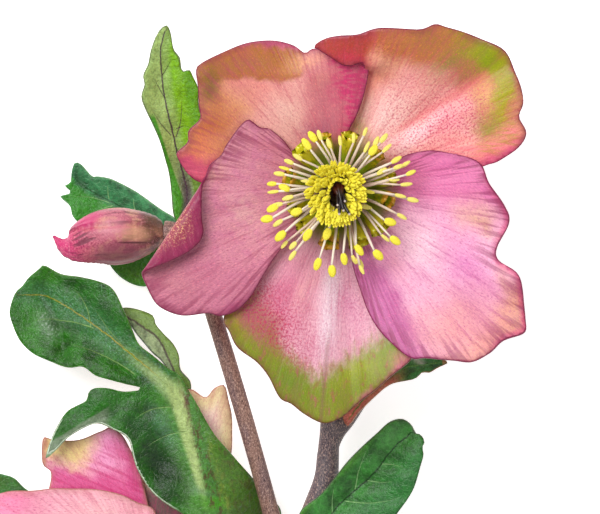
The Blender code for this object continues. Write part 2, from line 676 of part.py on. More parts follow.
SMALL_LOBE = [
    (-30.4, -41.6), (-30.0, -38.6), (-32.0, -36.0), (-32.4, -33.0), (-33.6, -30.6), (-35.4, -28.8), (-37.0, -27.0),
    (-37.6, -25.2), (-40.4, -24.0), (-43.4, -23.6), (-44.6, -24.6), (-42.6, -26.2), (-40.4, -29.4),
    (-37.8, -32.4), (-35.6, -34.4), (-33.6, -38.2), (-33.0, -41.0),
]
UPRIGHT_LEAF = [
    (-31.4, -7.6), (-32.6, -6.6), (-33.6, -3.4), (-34.2, 2.8), (-35.0, 6.0), (-36.0, 9.6), (-37.6, 13.2), (-38.8, 16.0),
    (-39.8, 18.8), (-39.2, 21.2), (-39.4, 23.0), (-38.4, 25.2), (-38.0, 27.8), (-37.2, 30.2), (-36.0, 32.2),
    (-34.8, 33.0), (-34.0, 31.6), (-33.4, 28.2), (-32.2, 26.6), (-31.6, 24.0), (-30.2, 24.2), (-29.4, 22.6),
    (-28.4, 20.2), (-28.4, 17.8), (-27.8, 14.8), (-26.8, 12.0), (-26.6, 7.0), (-27.4, 2.0), (-28.6, -2.2),
    (-30.2, -6.4),
]
UPRIGHT_MIDRIB = [(-31.3, -6.6), (-30.6, -1.6), (-31.6, 3.8), (-32.8, 8.2), (-33.8, 12.6), (-35.0, 17.8),
                  (-35.7, 22.8), (-36.0, 28.0), (-35.2, 31.6)]
BUD_LEAF = [
    (-31.4, -9.4), (-32.4, -6.6), (-33.8, -5.2), (-35.8, -4.0), (-39.4, -1.4), (-43.0, 0.8), (-46.0, 2.2),
    (-48.6, 2.8), (-50.0, 2.9), (-52.0, 5.2), (-53.4, 5.6), (-54.0, 3.8), (-54.2, 1.6), (-55.4, 1.0),
    (-54.2, -0.4), (-56.4, -1.2), (-54.4, -3.0), (-53.8, -5.0), (-52.2, -6.6), (-47.0, -9.4), (-41.0, -10.2),
    (-40.0, -10.8), (-44.6, -12.0), (-46.4, -14.2), (-45.0, -16.6), (-43.0, -18.2), (-40.6, -19.2),
    (-38.4, -19.2), (-35.8, -17.6), (-33.4, -14.4), (-32.2, -11.4),
]
BUD_LEAF_MIDRIB = [(-33.0, -8.2), (-38.0, -5.6), (-45.0, -2.6), (-54.6, -1.4)]
LOW_LEAF = [
    (-31.6, -84.6), (-33.0, -83.5), (-40.0, -80.0), (-47.0, -72.6), (-55.0, -66.0), (-60.0, -62.0),
    (-63.4, -60.0), (-65.6, -58.0), (-68.0, -57.2), (-71.6, -56.2), (-75.0, -54.6), (-76.6, -57.4),
    (-75.6, -61.0), (-73.0, -64.0), (-72.0, -68.0), (-67.0, -72.4), (-60.0, -77.0), (-50.0, -81.4),
    (-41.0, -84.4), (-34.0, -85.6),
]
LOW_MIDRIB = [(-33.0, -84.0), (-45.0, -79.0), (-58.0, -69.6), (-68.0, -61.6), (-75.4, -56.6)]
RIGHT_LEAF = [
    (-7.6, -71.6), (-8.6, -68.0), (-8.0, -64.8), (-6.6, -63.2), (-3.8, -61.0), (-0.8, -57.6), (2.2, -53.8),
    (5.0, -51.0), (7.8, -48.4), (10.0, -46.6), (12.4, -46.0), (14.2, -47.0), (15.2, -48.8), (16.2, -49.0),
    (17.0, -50.4), (16.6, -51.6), (16.8, -53.2), (16.0, -56.0), (14.8, -59.8), (13.4, -62.4), (11.6, -64.8),
    (9.0, -68.0), (4.6, -71.4), (0.0, -73.4), (-4.6, -73.6),
]
RIGHT_MIDRIB = [(-6.6, -72.0), (-3.6, -67.6), (0.6, -62.4), (4.0, -59.6), (7.4, -56.2), (10.4, -52.2), (14.0, -49.0)]
BACK_LEAF = [
    (1.6, -47.4), (0.6, -44.6), (3.0, -39.6), (7.0, -35.4), (12.0, -32.8), (16.8, -33.0), (21.8, -34.4),
    (19.6, -35.6), (18.0, -36.6), (16.6, -36.6), (15.0, -38.0), (10.4, -39.2), (7.0, -42.0), (3.8, -45.4),
]
BACK_MIDRIB = [(2.2, -45.6), (6.0, -40.6), (12.0, -36.0), (20.6, -34.6)]


def nearest(line, x, y):
    """How far a point is from a line of points."""
    return float(np.hypot(line[:, 0] - x, line[:, 1] - y).min())


def valley(line, x, y, depth, width):
    """Rises on both sides of a rib, and levels off."""
    return depth * (1 - bump(nearest(line, x, y), width))


def leaf_place(midrib, height, depth=1.3, width=4.0):
    """Puts a leaf at height(x, y), with a valley along its midrib."""
    rib = curve_through(midrib, False, 0.5)
    return lambda x, y: (x, y, height(x, y) + valley(rib, x, y, depth, width))


def large_height(x, y):
    """Up and over the second bloom from the fork, then down again towards the tip of the big lobe."""
    dx, dy = x + 12.0, y + 75.0
    away = math.hypot(dx, dy)
    side = 0.769 * dx + 0.641 * dy
    climb = 5.6 + 9.8 * smooth(4.0, 18.0, away)
    sheath = 1.05 * max(0.0, side) * (1 - smooth(14.0, 28.0, away))
    lobe = -0.87 * (x + 39.0) + 0.5 * (y + 38.0)
    return climb - sheath - 7.0 * smooth(0.0, 30.0, lobe)


def small_lobe_height(x, y):
    return 17.4 - 0.42 * (y + 42.0)


def upright_height(x, y):
    return 12.6 + 0.09 * (y + 5.0) - 3.2 * bump(y - 2.0, 7.0)


def bud_leaf_height(x, y):
    """From the stalk down to the surface under the bud."""
    t = min(1.0, max(0.0, (x + 56.4) / 24.4))
    return 0.36 + 9.6 * t**2.2


def low_height(x, y):
    return 0.9 + 1.2 * smooth(-50.0, -74.0, x)


def right_height(x, y):
    along = (x + 7.0) * 0.66 + (y + 72.0) * 0.75
    return 9.4 + 0.9 * smooth(0.0, 10.0, along) + 2.6 * smooth(8.0, 32.0, along)


def back_height(x, y):
    return 10.7 + 2.0 * smooth(2.0, 10.0, x) - 1.5 * smooth(12.0, 22.0, x)


def build_leaves():
    leaf_step = even(3.4)
    large = blade("leaf_large", LARGE_LEAF, [LARGE_MIDRIB, LARGE_SIDE_RIB],
                  leaf_place(LARGE_MIDRIB, large_height, 1.5, 4.5), LEAF, even(3.0))
    large = evaluated_copy(large)
    lobe = evaluated_copy(blade("small_lobe", SMALL_LOBE, [], lambda x, y: (x, y, small_lobe_height(x, y)), LEAF,
                                even(3.0)))
    join_all(large, [lobe])
    blade("leaf_upright", UPRIGHT_LEAF, [UPRIGHT_MIDRIB], leaf_place(UPRIGHT_MIDRIB, upright_height), LEAF, leaf_step)
    blade("leaf_behind_bud", BUD_LEAF, [BUD_LEAF_MIDRIB],
          leaf_place(BUD_LEAF_MIDRIB, bud_leaf_height, 0.9), LEAF, leaf_step)
    blade("leaf_under_bloom_2", LOW_LEAF, [LOW_MIDRIB], leaf_place(LOW_MIDRIB, low_height, 0.9), LEAF, even(4.5))
    blade("leaf_right", RIGHT_LEAF, [RIGHT_MIDRIB], leaf_place(RIGHT_MIDRIB, right_height, 1.7, 4.0), LEAF, leaf_step)
    blade("leaf_behind_bloom_1", BACK_LEAF, [BACK_MIDRIB], leaf_place(BACK_MIDRIB, back_height, 0.8), LEAF, leaf_step)


build_stem()
build_bloom_1_sepals()
build_nectaries("bloom_1_nectaries", BLOOM_1, 12)
build_stamens("bloom_1_stamens", BLOOM_1, 36, 33, 4)
build_pistils("bloom_1_pistils", BLOOM_1)
build_bloom_2_sepals()
build_nectaries("bloom_2_nectaries", BLOOM_2, 9)
build_stamens("bloom_2_stamens", BLOOM_2, 18, 18, 9)
build_pistils("bloom_2_pistils", BLOOM_2)
build_bud("bud_1", BUD_1_AXIS, 5.5, 15, 10, 0.6)
build_bud("bud_2", BUD_2_AXIS, 5.2, 12, 8, 0.6)
build_leaves()
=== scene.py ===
# %% [markdown]
# # A cut stem of hellebore
#
# This scene dresses one flowering stem: two open blooms, two closed buds, a forked stalk and six leafy
# bracts. It lies on its back, so the blooms look straight up at the camera.
#
# A plain model of the same stem, with every piece as a simple solid, is loaded first as a fixed frame. Each
# step below then builds one finer piece in the space of its plain solid, and says which solid it stands for.
# All lengths are written in millimetres and turned into metres when a mesh is made.

# %% Load the plain model
import math
import random

import bmesh
import bpy
import numpy as np
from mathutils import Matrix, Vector
from mathutils.geometry import delaunay_2d_cdt

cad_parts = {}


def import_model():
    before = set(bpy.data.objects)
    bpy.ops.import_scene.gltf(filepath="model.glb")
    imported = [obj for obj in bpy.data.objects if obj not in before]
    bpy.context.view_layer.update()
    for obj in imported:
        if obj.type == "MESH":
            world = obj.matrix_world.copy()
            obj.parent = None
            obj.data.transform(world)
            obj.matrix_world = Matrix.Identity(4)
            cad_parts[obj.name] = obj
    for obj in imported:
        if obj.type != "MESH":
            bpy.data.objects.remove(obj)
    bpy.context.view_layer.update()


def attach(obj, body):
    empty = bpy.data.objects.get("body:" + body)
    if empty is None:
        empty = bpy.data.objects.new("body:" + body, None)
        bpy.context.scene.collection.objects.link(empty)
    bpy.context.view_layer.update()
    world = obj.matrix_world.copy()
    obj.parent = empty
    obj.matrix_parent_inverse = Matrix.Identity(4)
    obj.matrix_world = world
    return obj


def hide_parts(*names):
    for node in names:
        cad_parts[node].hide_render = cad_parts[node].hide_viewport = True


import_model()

MM = 0.001
FULL_TURN = 2 * math.pi

# %% [markdown]
# ## Where things are measured from
#
# A bloom is easiest to draw from its own axis. So every outline here is measured from the axis of the first
# bloom, with x to the right, y towards the tip of the stem and z up from the surface. The frame's own origin
# is the middle of the whole stem, so one fixed step leads from one to the other.

# %% The plant's own axes
MIDDLE_X, MIDDLE_Y = -19.7, -58.8


def world(x, y, z):
    """A point of the plant, in millimetres, as a point of the scene, in metres."""
    return Vector(((x - MIDDLE_X) * MM, (y - MIDDLE_Y) * MM, z * MM))


print("first bloom's axis in the scene:", [round(1000 * v, 1) for v in world(0, 0, 0)], "mm")

# %% [markdown]
# ## Camera
#
# The stem is looked at from straight above, as a pressed flower would be. Flower portraits are taken from far
# away with a long lens, so that the near petals don't look larger than the far ones. Here the camera is 3 m up
# with a 900 mm lens on a 36 mm wide frame, which takes in 120 mm at the height of the blooms.

# %% Camera
VIEW_WIDTH = 120.0
VIEW_POINT = (-8.0, -13.4, 25.0)
CAMERA_RISE = 3000.0

camera_data = bpy.data.cameras.new("camera")
camera_data.sensor_width = 36.0
camera_data.lens = 36.0 * CAMERA_RISE / VIEW_WIDTH
camera_data.clip_start, camera_data.clip_end = 0.1, 10.0
camera = bpy.data.objects.new("camera", camera_data)
bpy.context.scene.collection.objects.link(camera)
camera.location = world(VIEW_POINT[0], VIEW_POINT[1], VIEW_POINT[2] + CAMERA_RISE)
bpy.context.scene.camera = camera
print(f"camera: {camera_data.lens:.0f} mm lens, {VIEW_WIDTH:.0f} mm across the picture")

# %% [markdown]
# ## Floor and light
#
# The light is that of a product table. A large soft lamp hangs above and to the upper left, a weaker one at
# the lower right fills the shadows, and a dim pale surround reaches everything a little. A brighter surround
# would lay a grey haze over the glossy leaves, so most of the light comes from the lamps. The floor is nearly
# white and glows a little itself, as a lit acrylic table does, which keeps the shadows on it faint.

# %% Floor and light
def soft_lamp(name, place, aim, side, watts):
    data = bpy.data.lights.new(name, "AREA")
    data.shape, data.size, data.energy = "SQUARE", side, watts
    lamp = bpy.data.objects.new(name, data)
    lamp.location = place
    lamp.rotation_euler = (Vector(aim) - Vector(place)).to_track_quat("-Z", "Y").to_euler()
    bpy.context.scene.collection.objects.link(lamp)
    return lamp


KEY_WATTS, FILL_WATTS, SURROUND, TABLE_GLOW = 10.0, 2.0, 0.34, 0.62
soft_lamp("key", (-0.40, 0.45, 0.80), (0.0, 0.03, 0.0), 0.6, KEY_WATTS)
soft_lamp("fill", (0.6, -0.35, 0.6), (0.0, 0.03, 0.0), 0.7, FILL_WATTS)

surround = bpy.data.worlds.new("surround")
surround.use_nodes = True
surround.node_tree.nodes["Background"].inputs["Color"].default_value = (1.0, 1.0, 1.0, 1.0)
surround.node_tree.nodes["Background"].inputs["Strength"].default_value = SURROUND
bpy.context.scene.world = surround
bpy.context.scene.view_settings.view_transform = "Standard"

floor_mesh = bpy.data.meshes.new("floor")
half = 3.0
floor_mesh.from_pydata([(-half, -half, 0), (half, -half, 0), (half, half, 0), (-half, half, 0)], [], [(0, 1, 2, 3)])
floor_paint = bpy.data.materials.new("floor_pale")
floor_paint.use_nodes = True
floor_shader = floor_paint.node_tree.nodes["Principled BSDF"]
floor_shader.inputs["Base Color"].default_value = (0.93, 0.93, 0.93, 1.0)
floor_shader.inputs["Roughness"].default_value = 0.9
floor_shader.inputs["Emission Color"].default_value = (1.0, 1.0, 1.0, 1.0)
floor_shader.inputs["Emission Strength"].default_value = TABLE_GLOW
floor_mesh.materials.append(floor_paint)
floor = bpy.data.objects.new("floor", floor_mesh)
bpy.context.scene.collection.objects.link(floor)

# %% [markdown]
# ## Thin blades
#
# Sepals and leaves are the same kind of thing: a thin sheet with a drawn outline that was bent as it grew.
# One way to make them is to subdivide a plane and pull its points about, but then the outline is only as good
# as the grid. Here the outline comes first, as a smooth curve through chosen points. It is filled with evenly
# spread points, joined into triangles that keep the outline exactly, then each point is lifted to its height,
# and the sheet is given a thickness.

# %% Smooth steps and curves
def smooth(low, high, value):
    """0 below low, 1 above high, and an S-shaped step between."""
    t = min(1.0, max(0.0, (value - low) / (high - low)))
    return t * t * (3 - 2 * t)


def bump(distance, width):
    """1 at no distance, falling softly to nothing at about twice the width."""
    return math.exp(-((distance / width) ** 2))


def compass(degrees):
    """The x and y of a step of 1 in a direction, counted anticlockwise from the right."""
    return math.cos(math.radians(degrees)), math.sin(math.radians(degrees))


def spline_at(a, b, c, d, t):
    """A point of the Catmull-Rom curve from b to c."""
    return 0.5 * (2 * b + (c - a) * t + (2 * a - 5 * b + 4 * c - d) * t**2 + (3 * b - a - 3 * c + d) * t**3)


def curve_through(points, closed, step=0.25):
    """Close-set points of the smooth curve that passes through the given ones."""
    points = [np.array(p, float) for p in points]
    path = []
    for i in range(len(points) if closed else len(points) - 1):
        if closed:
            a, b, c, d = (points[(i + k) % len(points)] for k in (-1, 0, 1, 2))
        else:
            b, c = points[i], points[i + 1]
            a = points[i - 1] if i else 2 * b - c
            d = points[i + 2] if i + 2 < len(points) else 2 * c - b
        count = max(2, int(np.linalg.norm(c - b) / step))
        path += [spline_at(a, b, c, d, k / count) for k in range(count)]
    if not closed:
        path.append(points[-1])
    return np.array(path)


def thinned(path, step):
    """Points along a path at least a step apart. Both ends of the path are kept."""
    kept = [path[0]]
    for p in path[1:-1]:
        if np.linalg.norm(p - kept[-1]) >= step and np.linalg.norm(p - path[-1]) >= 0.6 * step:
            kept.append(p)
    kept.append(path[-1])
    return np.array(kept)


print("a curve through 3 points has", len(curve_through([(0, 0), (4, 1), (8, 0)], False)), "points")

# %% Fill an outline with points
FINE = 0.8  # distance between the points of a sheet
ROW_RISE = 0.866  # height of a row of even triangles, for a side of 1


def inside(ring, points):
    """Which points lie inside a closed outline, by counting the edges to their right."""
    x, y = points[:, 0:1], points[:, 1:2]
    x0, y0 = ring[:, 0], ring[:, 1]
    x1, y1 = np.roll(x0, -1), np.roll(y0, -1)
    crosses = (y0 > y) != (y1 > y)
    height = np.where(y1 == y0, 1.0, y1 - y0)
    return (crosses & (x < x0 + (y - y0) / height * (x1 - x0))).sum(axis=1) % 2 == 1


def crinkled(ring, seed, size):
    """Moves the points of an outline in and out a little, in short uneven waves."""
    draw = random.Random(seed)
    total = len(ring)
    waves = [
        (draw.randint(total // 26, total // 9), draw.uniform(0, FULL_TURN), draw.uniform(0.4, 1.0)) for _ in range(5)
    ]
    along = np.roll(ring, -1, axis=0) - np.roll(ring, 1, axis=0)
    out = np.stack([along[:, 1], -along[:, 0]], axis=1) / np.maximum(np.linalg.norm(along, axis=1), 1e-6)[:, None]
    k = np.arange(total)
    push = sum(a * np.sin(FULL_TURN * n * k / total + p) for n, p, a in waves) / 3
    return ring + size * push[:, None] * out


def sheet(outline, seed, crinkle):
    """Evenly spread points that fill an outline, and the triangles between them. The outline's own come first."""
    ring = thinned(curve_through(outline, True), 0.75 * FINE)
    if np.linalg.norm(ring[0] - ring[-1]) < 0.4 * FINE:
        ring = ring[:-1]
    ring = crinkled(ring, seed, crinkle)
    low, high = ring.min(axis=0), ring.max(axis=0)
    rows = np.arange(low[1], high[1], FINE * ROW_RISE)
    grid = np.array(
        [(x + 0.5 * FINE * (k % 2), y) for k, y in enumerate(rows) for x in np.arange(low[0], high[0], FINE)]
    )
    grid = grid[inside(ring, grid)]
    apart = np.linalg.norm(grid[:, None] - ring[None], axis=2).min(axis=1)
    points = [*ring, *grid[apart > 0.42 * FINE]]
    edges = [(i, (i + 1) % len(ring)) for i in range(len(ring))]
    flat, _, faces, _, _, _ = delaunay_2d_cdt([Vector(p) for p in points], edges, [], 1, 1e-5)
    return np.array([tuple(p) for p in flat]), faces, ring


trial = sheet([(0, 0), (9, 0), (9, 6), (0, 6)], 1, 0.0)
print("a 9 by 6 mm sheet has", len(trial[0]), "points and", len(trial[1]), "triangles")

# %% Bend and thicken a sheet
def mapped_mesh(name, points, faces, maps, face_up=False):
    """A smooth mesh of points in the plant's axes. Each of its maps has a pair of values for each point."""
    mesh = bpy.data.meshes.new(name)
    mesh.from_pydata([tuple(world(*p)) for p in points], [], faces)
    corners = np.empty(len(mesh.loops), np.int32)
    mesh.loops.foreach_get("vertex_index", corners)
    for title, values in maps.items():
        mesh.uv_layers.new(name=title).data.foreach_set("uv", np.array(values, np.float32)[corners].ravel())
    bm = bmesh.new()
    bm.from_mesh(mesh)
    bmesh.ops.recalc_face_normals(bm, faces=bm.faces)
    if face_up and sum(face.normal.z * face.calc_area() for face in bm.faces) < 0:
        bmesh.ops.reverse_faces(bm, faces=bm.faces)
    for face in bm.faces:
        face.smooth = True
    bm.to_mesh(mesh)
    bm.free()
    return mesh


def finish_mesh(obj, nodes, paint):
    """Gives a piece its paint and its body, and hides the plain solids that it stands for."""
    obj.data.materials.clear()
    obj.data.materials.append(paint)
    bpy.context.scene.collection.objects.link(obj)
    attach(obj, "root")
    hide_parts(*nodes)
    return obj


def make_blade(name, node, outline, place, rib, paint, seed, thick=0.42, crinkle=0.16):
    """A thin bent sheet. place(x, y) is where a flat point goes and rib is the line its veins leave from.

    Three maps go with the mesh, for the paint: "flat" holds the point on the flat sheet, "rib" how far along
    its rib the point is and how far to one side, and "edge" how far it is from the outline. All are in cm.
    """
    flat, faces, ring = sheet(outline, seed, crinkle)
    spine = curve_through(rib, False, 0.5)
    lengths = np.concatenate([[0], np.cumsum(np.linalg.norm(np.diff(spine, axis=0), axis=1))])
    gaps = np.linalg.norm(flat[:, None] - spine[None], axis=2)
    close = gaps.argmin(axis=1)
    ahead = np.gradient(spine, axis=0)[close]
    offset = flat - spine[close]
    side = np.sign(ahead[:, 0] * offset[:, 1] - ahead[:, 1] * offset[:, 0])
    run = np.einsum("ij,ij->i", ahead, offset) / np.maximum(np.linalg.norm(ahead, axis=1), 1e-6)
    along = lengths[close] + run * ((close == 0) | (close == len(spine) - 1))
    edge = np.linalg.norm(flat[:, None] - ring[None], axis=2).min(axis=1)
    maps = {
        "flat": flat / 10,
        "rib": np.stack([along, side * gaps.min(axis=1)], axis=1) / 10,
        "edge": np.stack([edge, np.zeros(len(flat))], axis=1) / 10,
    }
    obj = bpy.data.objects.new(name, mapped_mesh(name, [place(x, y) for x, y in flat], faces, maps, True))
    solidify = obj.modifiers.new("thickness", "SOLIDIFY")
    solidify.thickness, solidify.offset = thick * MM, 0.0
    finish_mesh(obj, [node], paint)
    print(f"{name}: {len(flat)} points, {len(faces)} triangles on each side")
    return obj

# %% [markdown]
# ## A small language for paint
#
# Every colour here is made from maths on the surface: how far from the margin, how far along a vein, and some
# noise. Built by hand, such a node tree is a tangle of Math nodes. So one small class wraps a socket and gives
# it the ordinary operators. Writing `0.4 * edge + noise` then adds the two Math nodes and their links, and
# `edge.step(2, 0)` fades a mark in over the last 2 mm before the margin. Colours go through Mix nodes instead,
# because a Math node would turn them grey. They are laid one over another, each with a mask, as glazes are.

# %% Wires and paints
def tint(red, green, blue):
    """A colour given as on a paint chart, 0 to 255, as the light values that a shader takes."""
    parts = [c / 255 for c in (red, green, blue)]
    return tuple(c / 12.92 if c <= 0.04045 else ((c + 0.055) / 1.055) ** 2.4 for c in parts)


class Wire:
    """The value that leaves one socket. Arithmetic on it adds Math nodes."""

    def __init__(self, paint, socket):
        self.paint, self.socket = paint, socket

    def maths(self, operation, first, second=0.0):
        return self.paint.node("ShaderNodeMath", {"operation": operation}, Value=first, Value_001=second)

    def __add__(self, other):
        return self.maths("ADD", self, other)

    def __radd__(self, other):
        return self.maths("ADD", other, self)

    def __sub__(self, other):
        return self.maths("SUBTRACT", self, other)

    def __rsub__(self, other):
        return self.maths("SUBTRACT", other, self)

    def __mul__(self, other):
        return self.maths("MULTIPLY", self, other)

    def __rmul__(self, other):
        return self.maths("MULTIPLY", other, self)

    def __truediv__(self, other):
        return self.maths("DIVIDE", self, other)

    def __pow__(self, other):
        return self.maths("POWER", self, other)

    def __abs__(self):
        return self.maths("ABSOLUTE", self)

    def step(self, low, high):
        """0 at low, 1 at high, and an S-shaped step between. Low may be the larger."""
        return self.paint.node("ShaderNodeMapRange", {"interpolation_type": "SMOOTHSTEP"}, Value=self, From_Min=low,
                               From_Max=high)


class Paint:
    """A material whose colour and bump are worked out from maps and noise."""

    def __init__(self, name, roughness=0.5, **fixed):
        self.material = bpy.data.materials.new(name)
        self.material.use_nodes = True
        self.tree = self.material.node_tree
        self.shader = self.tree.nodes["Principled BSDF"]
        self.fix("Roughness", roughness)
        for title, value in fixed.items():
            self.fix(title.replace("_", " "), value)

    def fix(self, title, value):
        """Sets a value that is the same all over the piece."""
        self.shader.inputs[title].default_value = value

    def node(self, kind, settings=None, out=0, **values):
        """Adds a node: its settings first, then a value or a link for each named socket."""
        made = self.tree.nodes.new(kind)
        for title, value in (settings or {}).items():
            setattr(made, title, value)
        by_name = {socket.identifier: socket for socket in made.inputs}
        for title, value in values.items():
            socket = by_name[title if title in by_name else title.replace("_", " ")]
            if isinstance(value, Wire):
                self.tree.links.new(value.socket, socket)
            elif isinstance(value, tuple) and len(value) == 3 and socket.type == "RGBA":
                socket.default_value = (*value, 1.0)
            else:
                socket.default_value = value
        return Wire(self, made.outputs[out])

    def feed(self, title, wire):
        self.tree.links.new(wire.socket, self.shader.inputs[title])

    def split(self, kind, **values):
        """The three values that leave a node which takes a vector or a colour apart."""
        return [Wire(self, socket) for socket in self.node(kind, **values).socket.node.outputs]

    def map(self, title, scale=10):
        """The two values of a map. A blade's maps are in cm, so 10 is the scale that gives millimetres."""
        first, second, _ = self.split("ShaderNodeSeparateXYZ", Vector=self.node("ShaderNodeUVMap", {"uv_map": title}))
        return scale * first, scale * second

    def place(self):
        """Where a point of the surface is in the plant's own axes, in millimetres."""
        x, y, z = self.split("ShaderNodeSeparateXYZ", Vector=self.node("ShaderNodeTexCoord", out=3))
        return 1000 * x + MIDDLE_X, 1000 * y + MIDDLE_Y, 1000 * z

    def join(self, x, y, z=0.0):
        return self.node("ShaderNodeCombineXYZ", X=x, Y=y, Z=z)

    def noise(self, x, y, z=0.0, detail=2.0, rough=0.5):
        """Soft random values about 0.5, about one hump to each unit of x, y and z."""
        return self.node("ShaderNodeTexNoise", Vector=self.join(x, y, z), Scale=1.0, Detail=detail, Roughness=rough)

    def cells(self, x, y):
        """Distance to the walls of random cells, about one cell to each unit of x and y."""
        return self.node("ShaderNodeTexVoronoi", {"feature": "DISTANCE_TO_EDGE", "voronoi_dimensions": "2D"},
                         Vector=self.join(x, y), Scale=1.0, Randomness=0.9)

    def spots(self, x, y):
        """A function for soft ovals: 1 inside and 0 outside. stretch draws an oval out along its lean."""

        def spot(cx, cy, radius, soft, stretch=1.0, lean=0.0):
            c, s = compass(lean)
            u = ((x - cx) * c + (y - cy) * s) / stretch
            v = (y - cy) * c - (x - cx) * s
            return ((u * u + v * v) ** 0.5).step(radius + soft, radius - soft)

        return spot

    def mix(self, factor, first, second, blend="MIX"):
        settings = {"data_type": "RGBA", "blend_type": blend, "clamp_factor": True}
        return self.node("ShaderNodeMix", settings, out=2, Factor_Float=factor, A_Color=first, B_Color=second)

    def layered(self, colour, layers):
        """Lays colours over a first one. A layer is a colour of the paint chart and how much of it there is."""
        for patch, much in layers:
            colour = self.mix(much, colour, tint(*patch))
        return colour

    def bump(self, height, strength, distance):
        return self.node("ShaderNodeBump", Height=height, Strength=strength, Distance=distance * MM)


trial_paint = Paint("trial")
print("a sum of two wires is a", (trial_paint.map("flat")[0] + 1).socket.node.bl_idname)
bpy.data.materials.remove(trial_paint.material)

# %% [markdown]
# ## Sepal paint
#
# What look like the petals of a hellebore are sepals. Each is coloured in three scales. Broad soft patches
# shade from pink through peach to olive green. Over them runs a fan of fine veins that all leave from the
# base, joined by a net of finer ones. And along the very margin there is a thin dark line. The patches are
# placed one by one for each sepal, while the veins and the margin follow the same rule on all of them, so
# they live in one function.

# %% Sepal paint
def sepal_paint(name, heading, patches, ground, vein, margin=tint(124, 26, 66), vein_strength=0.45, rays=0.3):
    """patches gives colours and where they lie. heading is the sepal's own direction, in degrees, and rays is
    how strongly the margin's colour runs inwards along the veins."""
    paint = Paint(name, 0.42, Specular_IOR_Level=0.35, Sheen_Weight=0.12, Sheen_Roughness=0.4)
    x, y = paint.map("flat")
    edge, _ = paint.map("edge")
    drift = paint.noise(0.16 * x, 0.16 * y, 3.0, 3.0, 0.6) - 0.5
    drift_2 = paint.noise(0.16 * x, 0.16 * y, 9.0, 3.0, 0.6) - 0.5
    wx, wy = x + 7.0 * drift, y + 7.0 * drift_2
    c, s = compass(heading)
    ahead, aside = x * c + y * s, y * c - x * s
    reach = (ahead * ahead + aside * aside) ** 0.5
    fan = aside.maths("ARCTAN2", aside, ahead)

    def past(direction, start, end):
        """A soft step from 0 at start to 1 at end, measured along a direction in degrees."""
        c, s = compass(direction)
        return (wx * c + wy * s).step(start, end)

    colour = paint.layered(ground, patches(paint, x, y, edge, paint.spots(wx, wy), past))

    # Veins and freckles hold back where the sheet has turned green
    red, green, _ = paint.split("ShaderNodeSeparateColor", Color=colour)
    pink = 0.25 + 0.75 * (green / (red + 0.001)).step(1.0, 0.62)

    # Streaks that follow the fan, from broad to fine, and the net between them
    broad = paint.noise(7.0 * fan, 0.05 * reach, 1.0, 3.0, 0.6)
    fine = paint.noise(34.0 * fan, 0.11 * reach, 5.0, 2.0, 0.5)
    net = paint.cells(0.8 * reach + 4.0 * drift, 24.0 * fan + 3.0 * drift_2)
    grain = paint.noise(2.6 * x, 2.6 * y, 0.0, 2.0, 0.6)
    lines = net.step(0.16, 0.0) * grain.step(0.35, 0.65)
    colour = paint.mix(0.5 * pink * broad.step(0.42, 0.72), colour, paint.mix(0.5, colour, vein))
    colour = paint.mix(0.8 * vein_strength * pink * fine.step(0.50, 0.74), colour, vein)
    # Freckles and grain, drawn out a little along the fan
    arc = fan * reach
    freckles = paint.noise(1.5 * reach, 3.6 * arc, 11.0, 3.0, 0.75)
    colour = paint.mix(0.6 * pink * freckles.step(0.53, 0.66), colour, vein)
    colour = paint.mix(0.5 * freckles.step(0.46, 0.33), colour, tint(252, 226, 206), "OVERLAY")
    colour = paint.mix(0.3 * vein_strength * pink * lines, colour, vein)
    texture = paint.noise(2.4 * reach, 6.5 * arc, 21.0, 2.0, 0.7)
    light = 0.62 + 0.34 * grain + 0.42 * texture
    colour = paint.mix(1.0, colour, paint.join(light, light, light), "MULTIPLY")

    # The green throat under the stamens, the flushed border and the thin dark margin
    throat = (reach + 3.0 * drift).step(12.5, 7.5)
    colour = paint.mix(throat, colour, tint(128, 140, 20))
    colour = paint.mix(rays * edge.step(6.5, 0.5) * fine.step(0.46, 0.6), colour, margin)
    border = (edge + 2.6 * drift).step(1.7, 0.0)
    colour = paint.mix(0.42 * border, colour, margin)
    colour = paint.mix(0.9 * (edge + 0.4 * grain).step(0.48, 0.26), colour, margin)
    paint.feed("Base Color", colour)
    paint.feed("Roughness", 0.36 + 0.18 * grain)
    relief = 0.6 * fine.step(0.4, 0.7) + 0.2 * lines + 0.35 * grain
    paint.feed("Normal", paint.bump(1.0 - relief, 0.5, 0.16))
    return paint.material


trial_skin = sepal_paint("trial", 0, lambda *_: [], tint(240, 178, 165), tint(196, 96, 116))
print("a sepal's paint without patches has", len(trial_skin.node_tree.nodes), "nodes")
bpy.data.materials.remove(trial_skin)

# %% [markdown]
# ## The open bloom's bowl
#
# The five sepals grow from one short neck and open into a shallow bowl. So all of them share one rise, which
# grows with the distance from the axis, and one slow wave round the bowl. Each then adds its own bends: a
# margin that folds back, a keel, a lobe that climbs over its neighbour. Where two sepals overlap, one lies a
# level higher. Writing the height as a sum of small terms keeps each bend easy to find and to change.

# %% The bowl and a sepal in it
BLOOM_1 = (0.0, 0.0, 21.0)
BLOOM_2 = (-38.0, -79.0, 6.5)
BOWL_REACH, BOWL_RISE = 38.0, 7.5
LAYER = 1.3  # height of one sepal over the next
SEPAL_REACH = 46.0  # a little more than the longest sepal


def bowl(x, y, reach=BOWL_REACH, rise=BOWL_RISE):
    r = math.hypot(x, y)
    wave = 0.8 * smooth(0.45, 1.0, r / reach) * math.sin(5 * math.atan2(y, x) + 0.8)
    return rise * (r / reach) ** 1.5 + wave


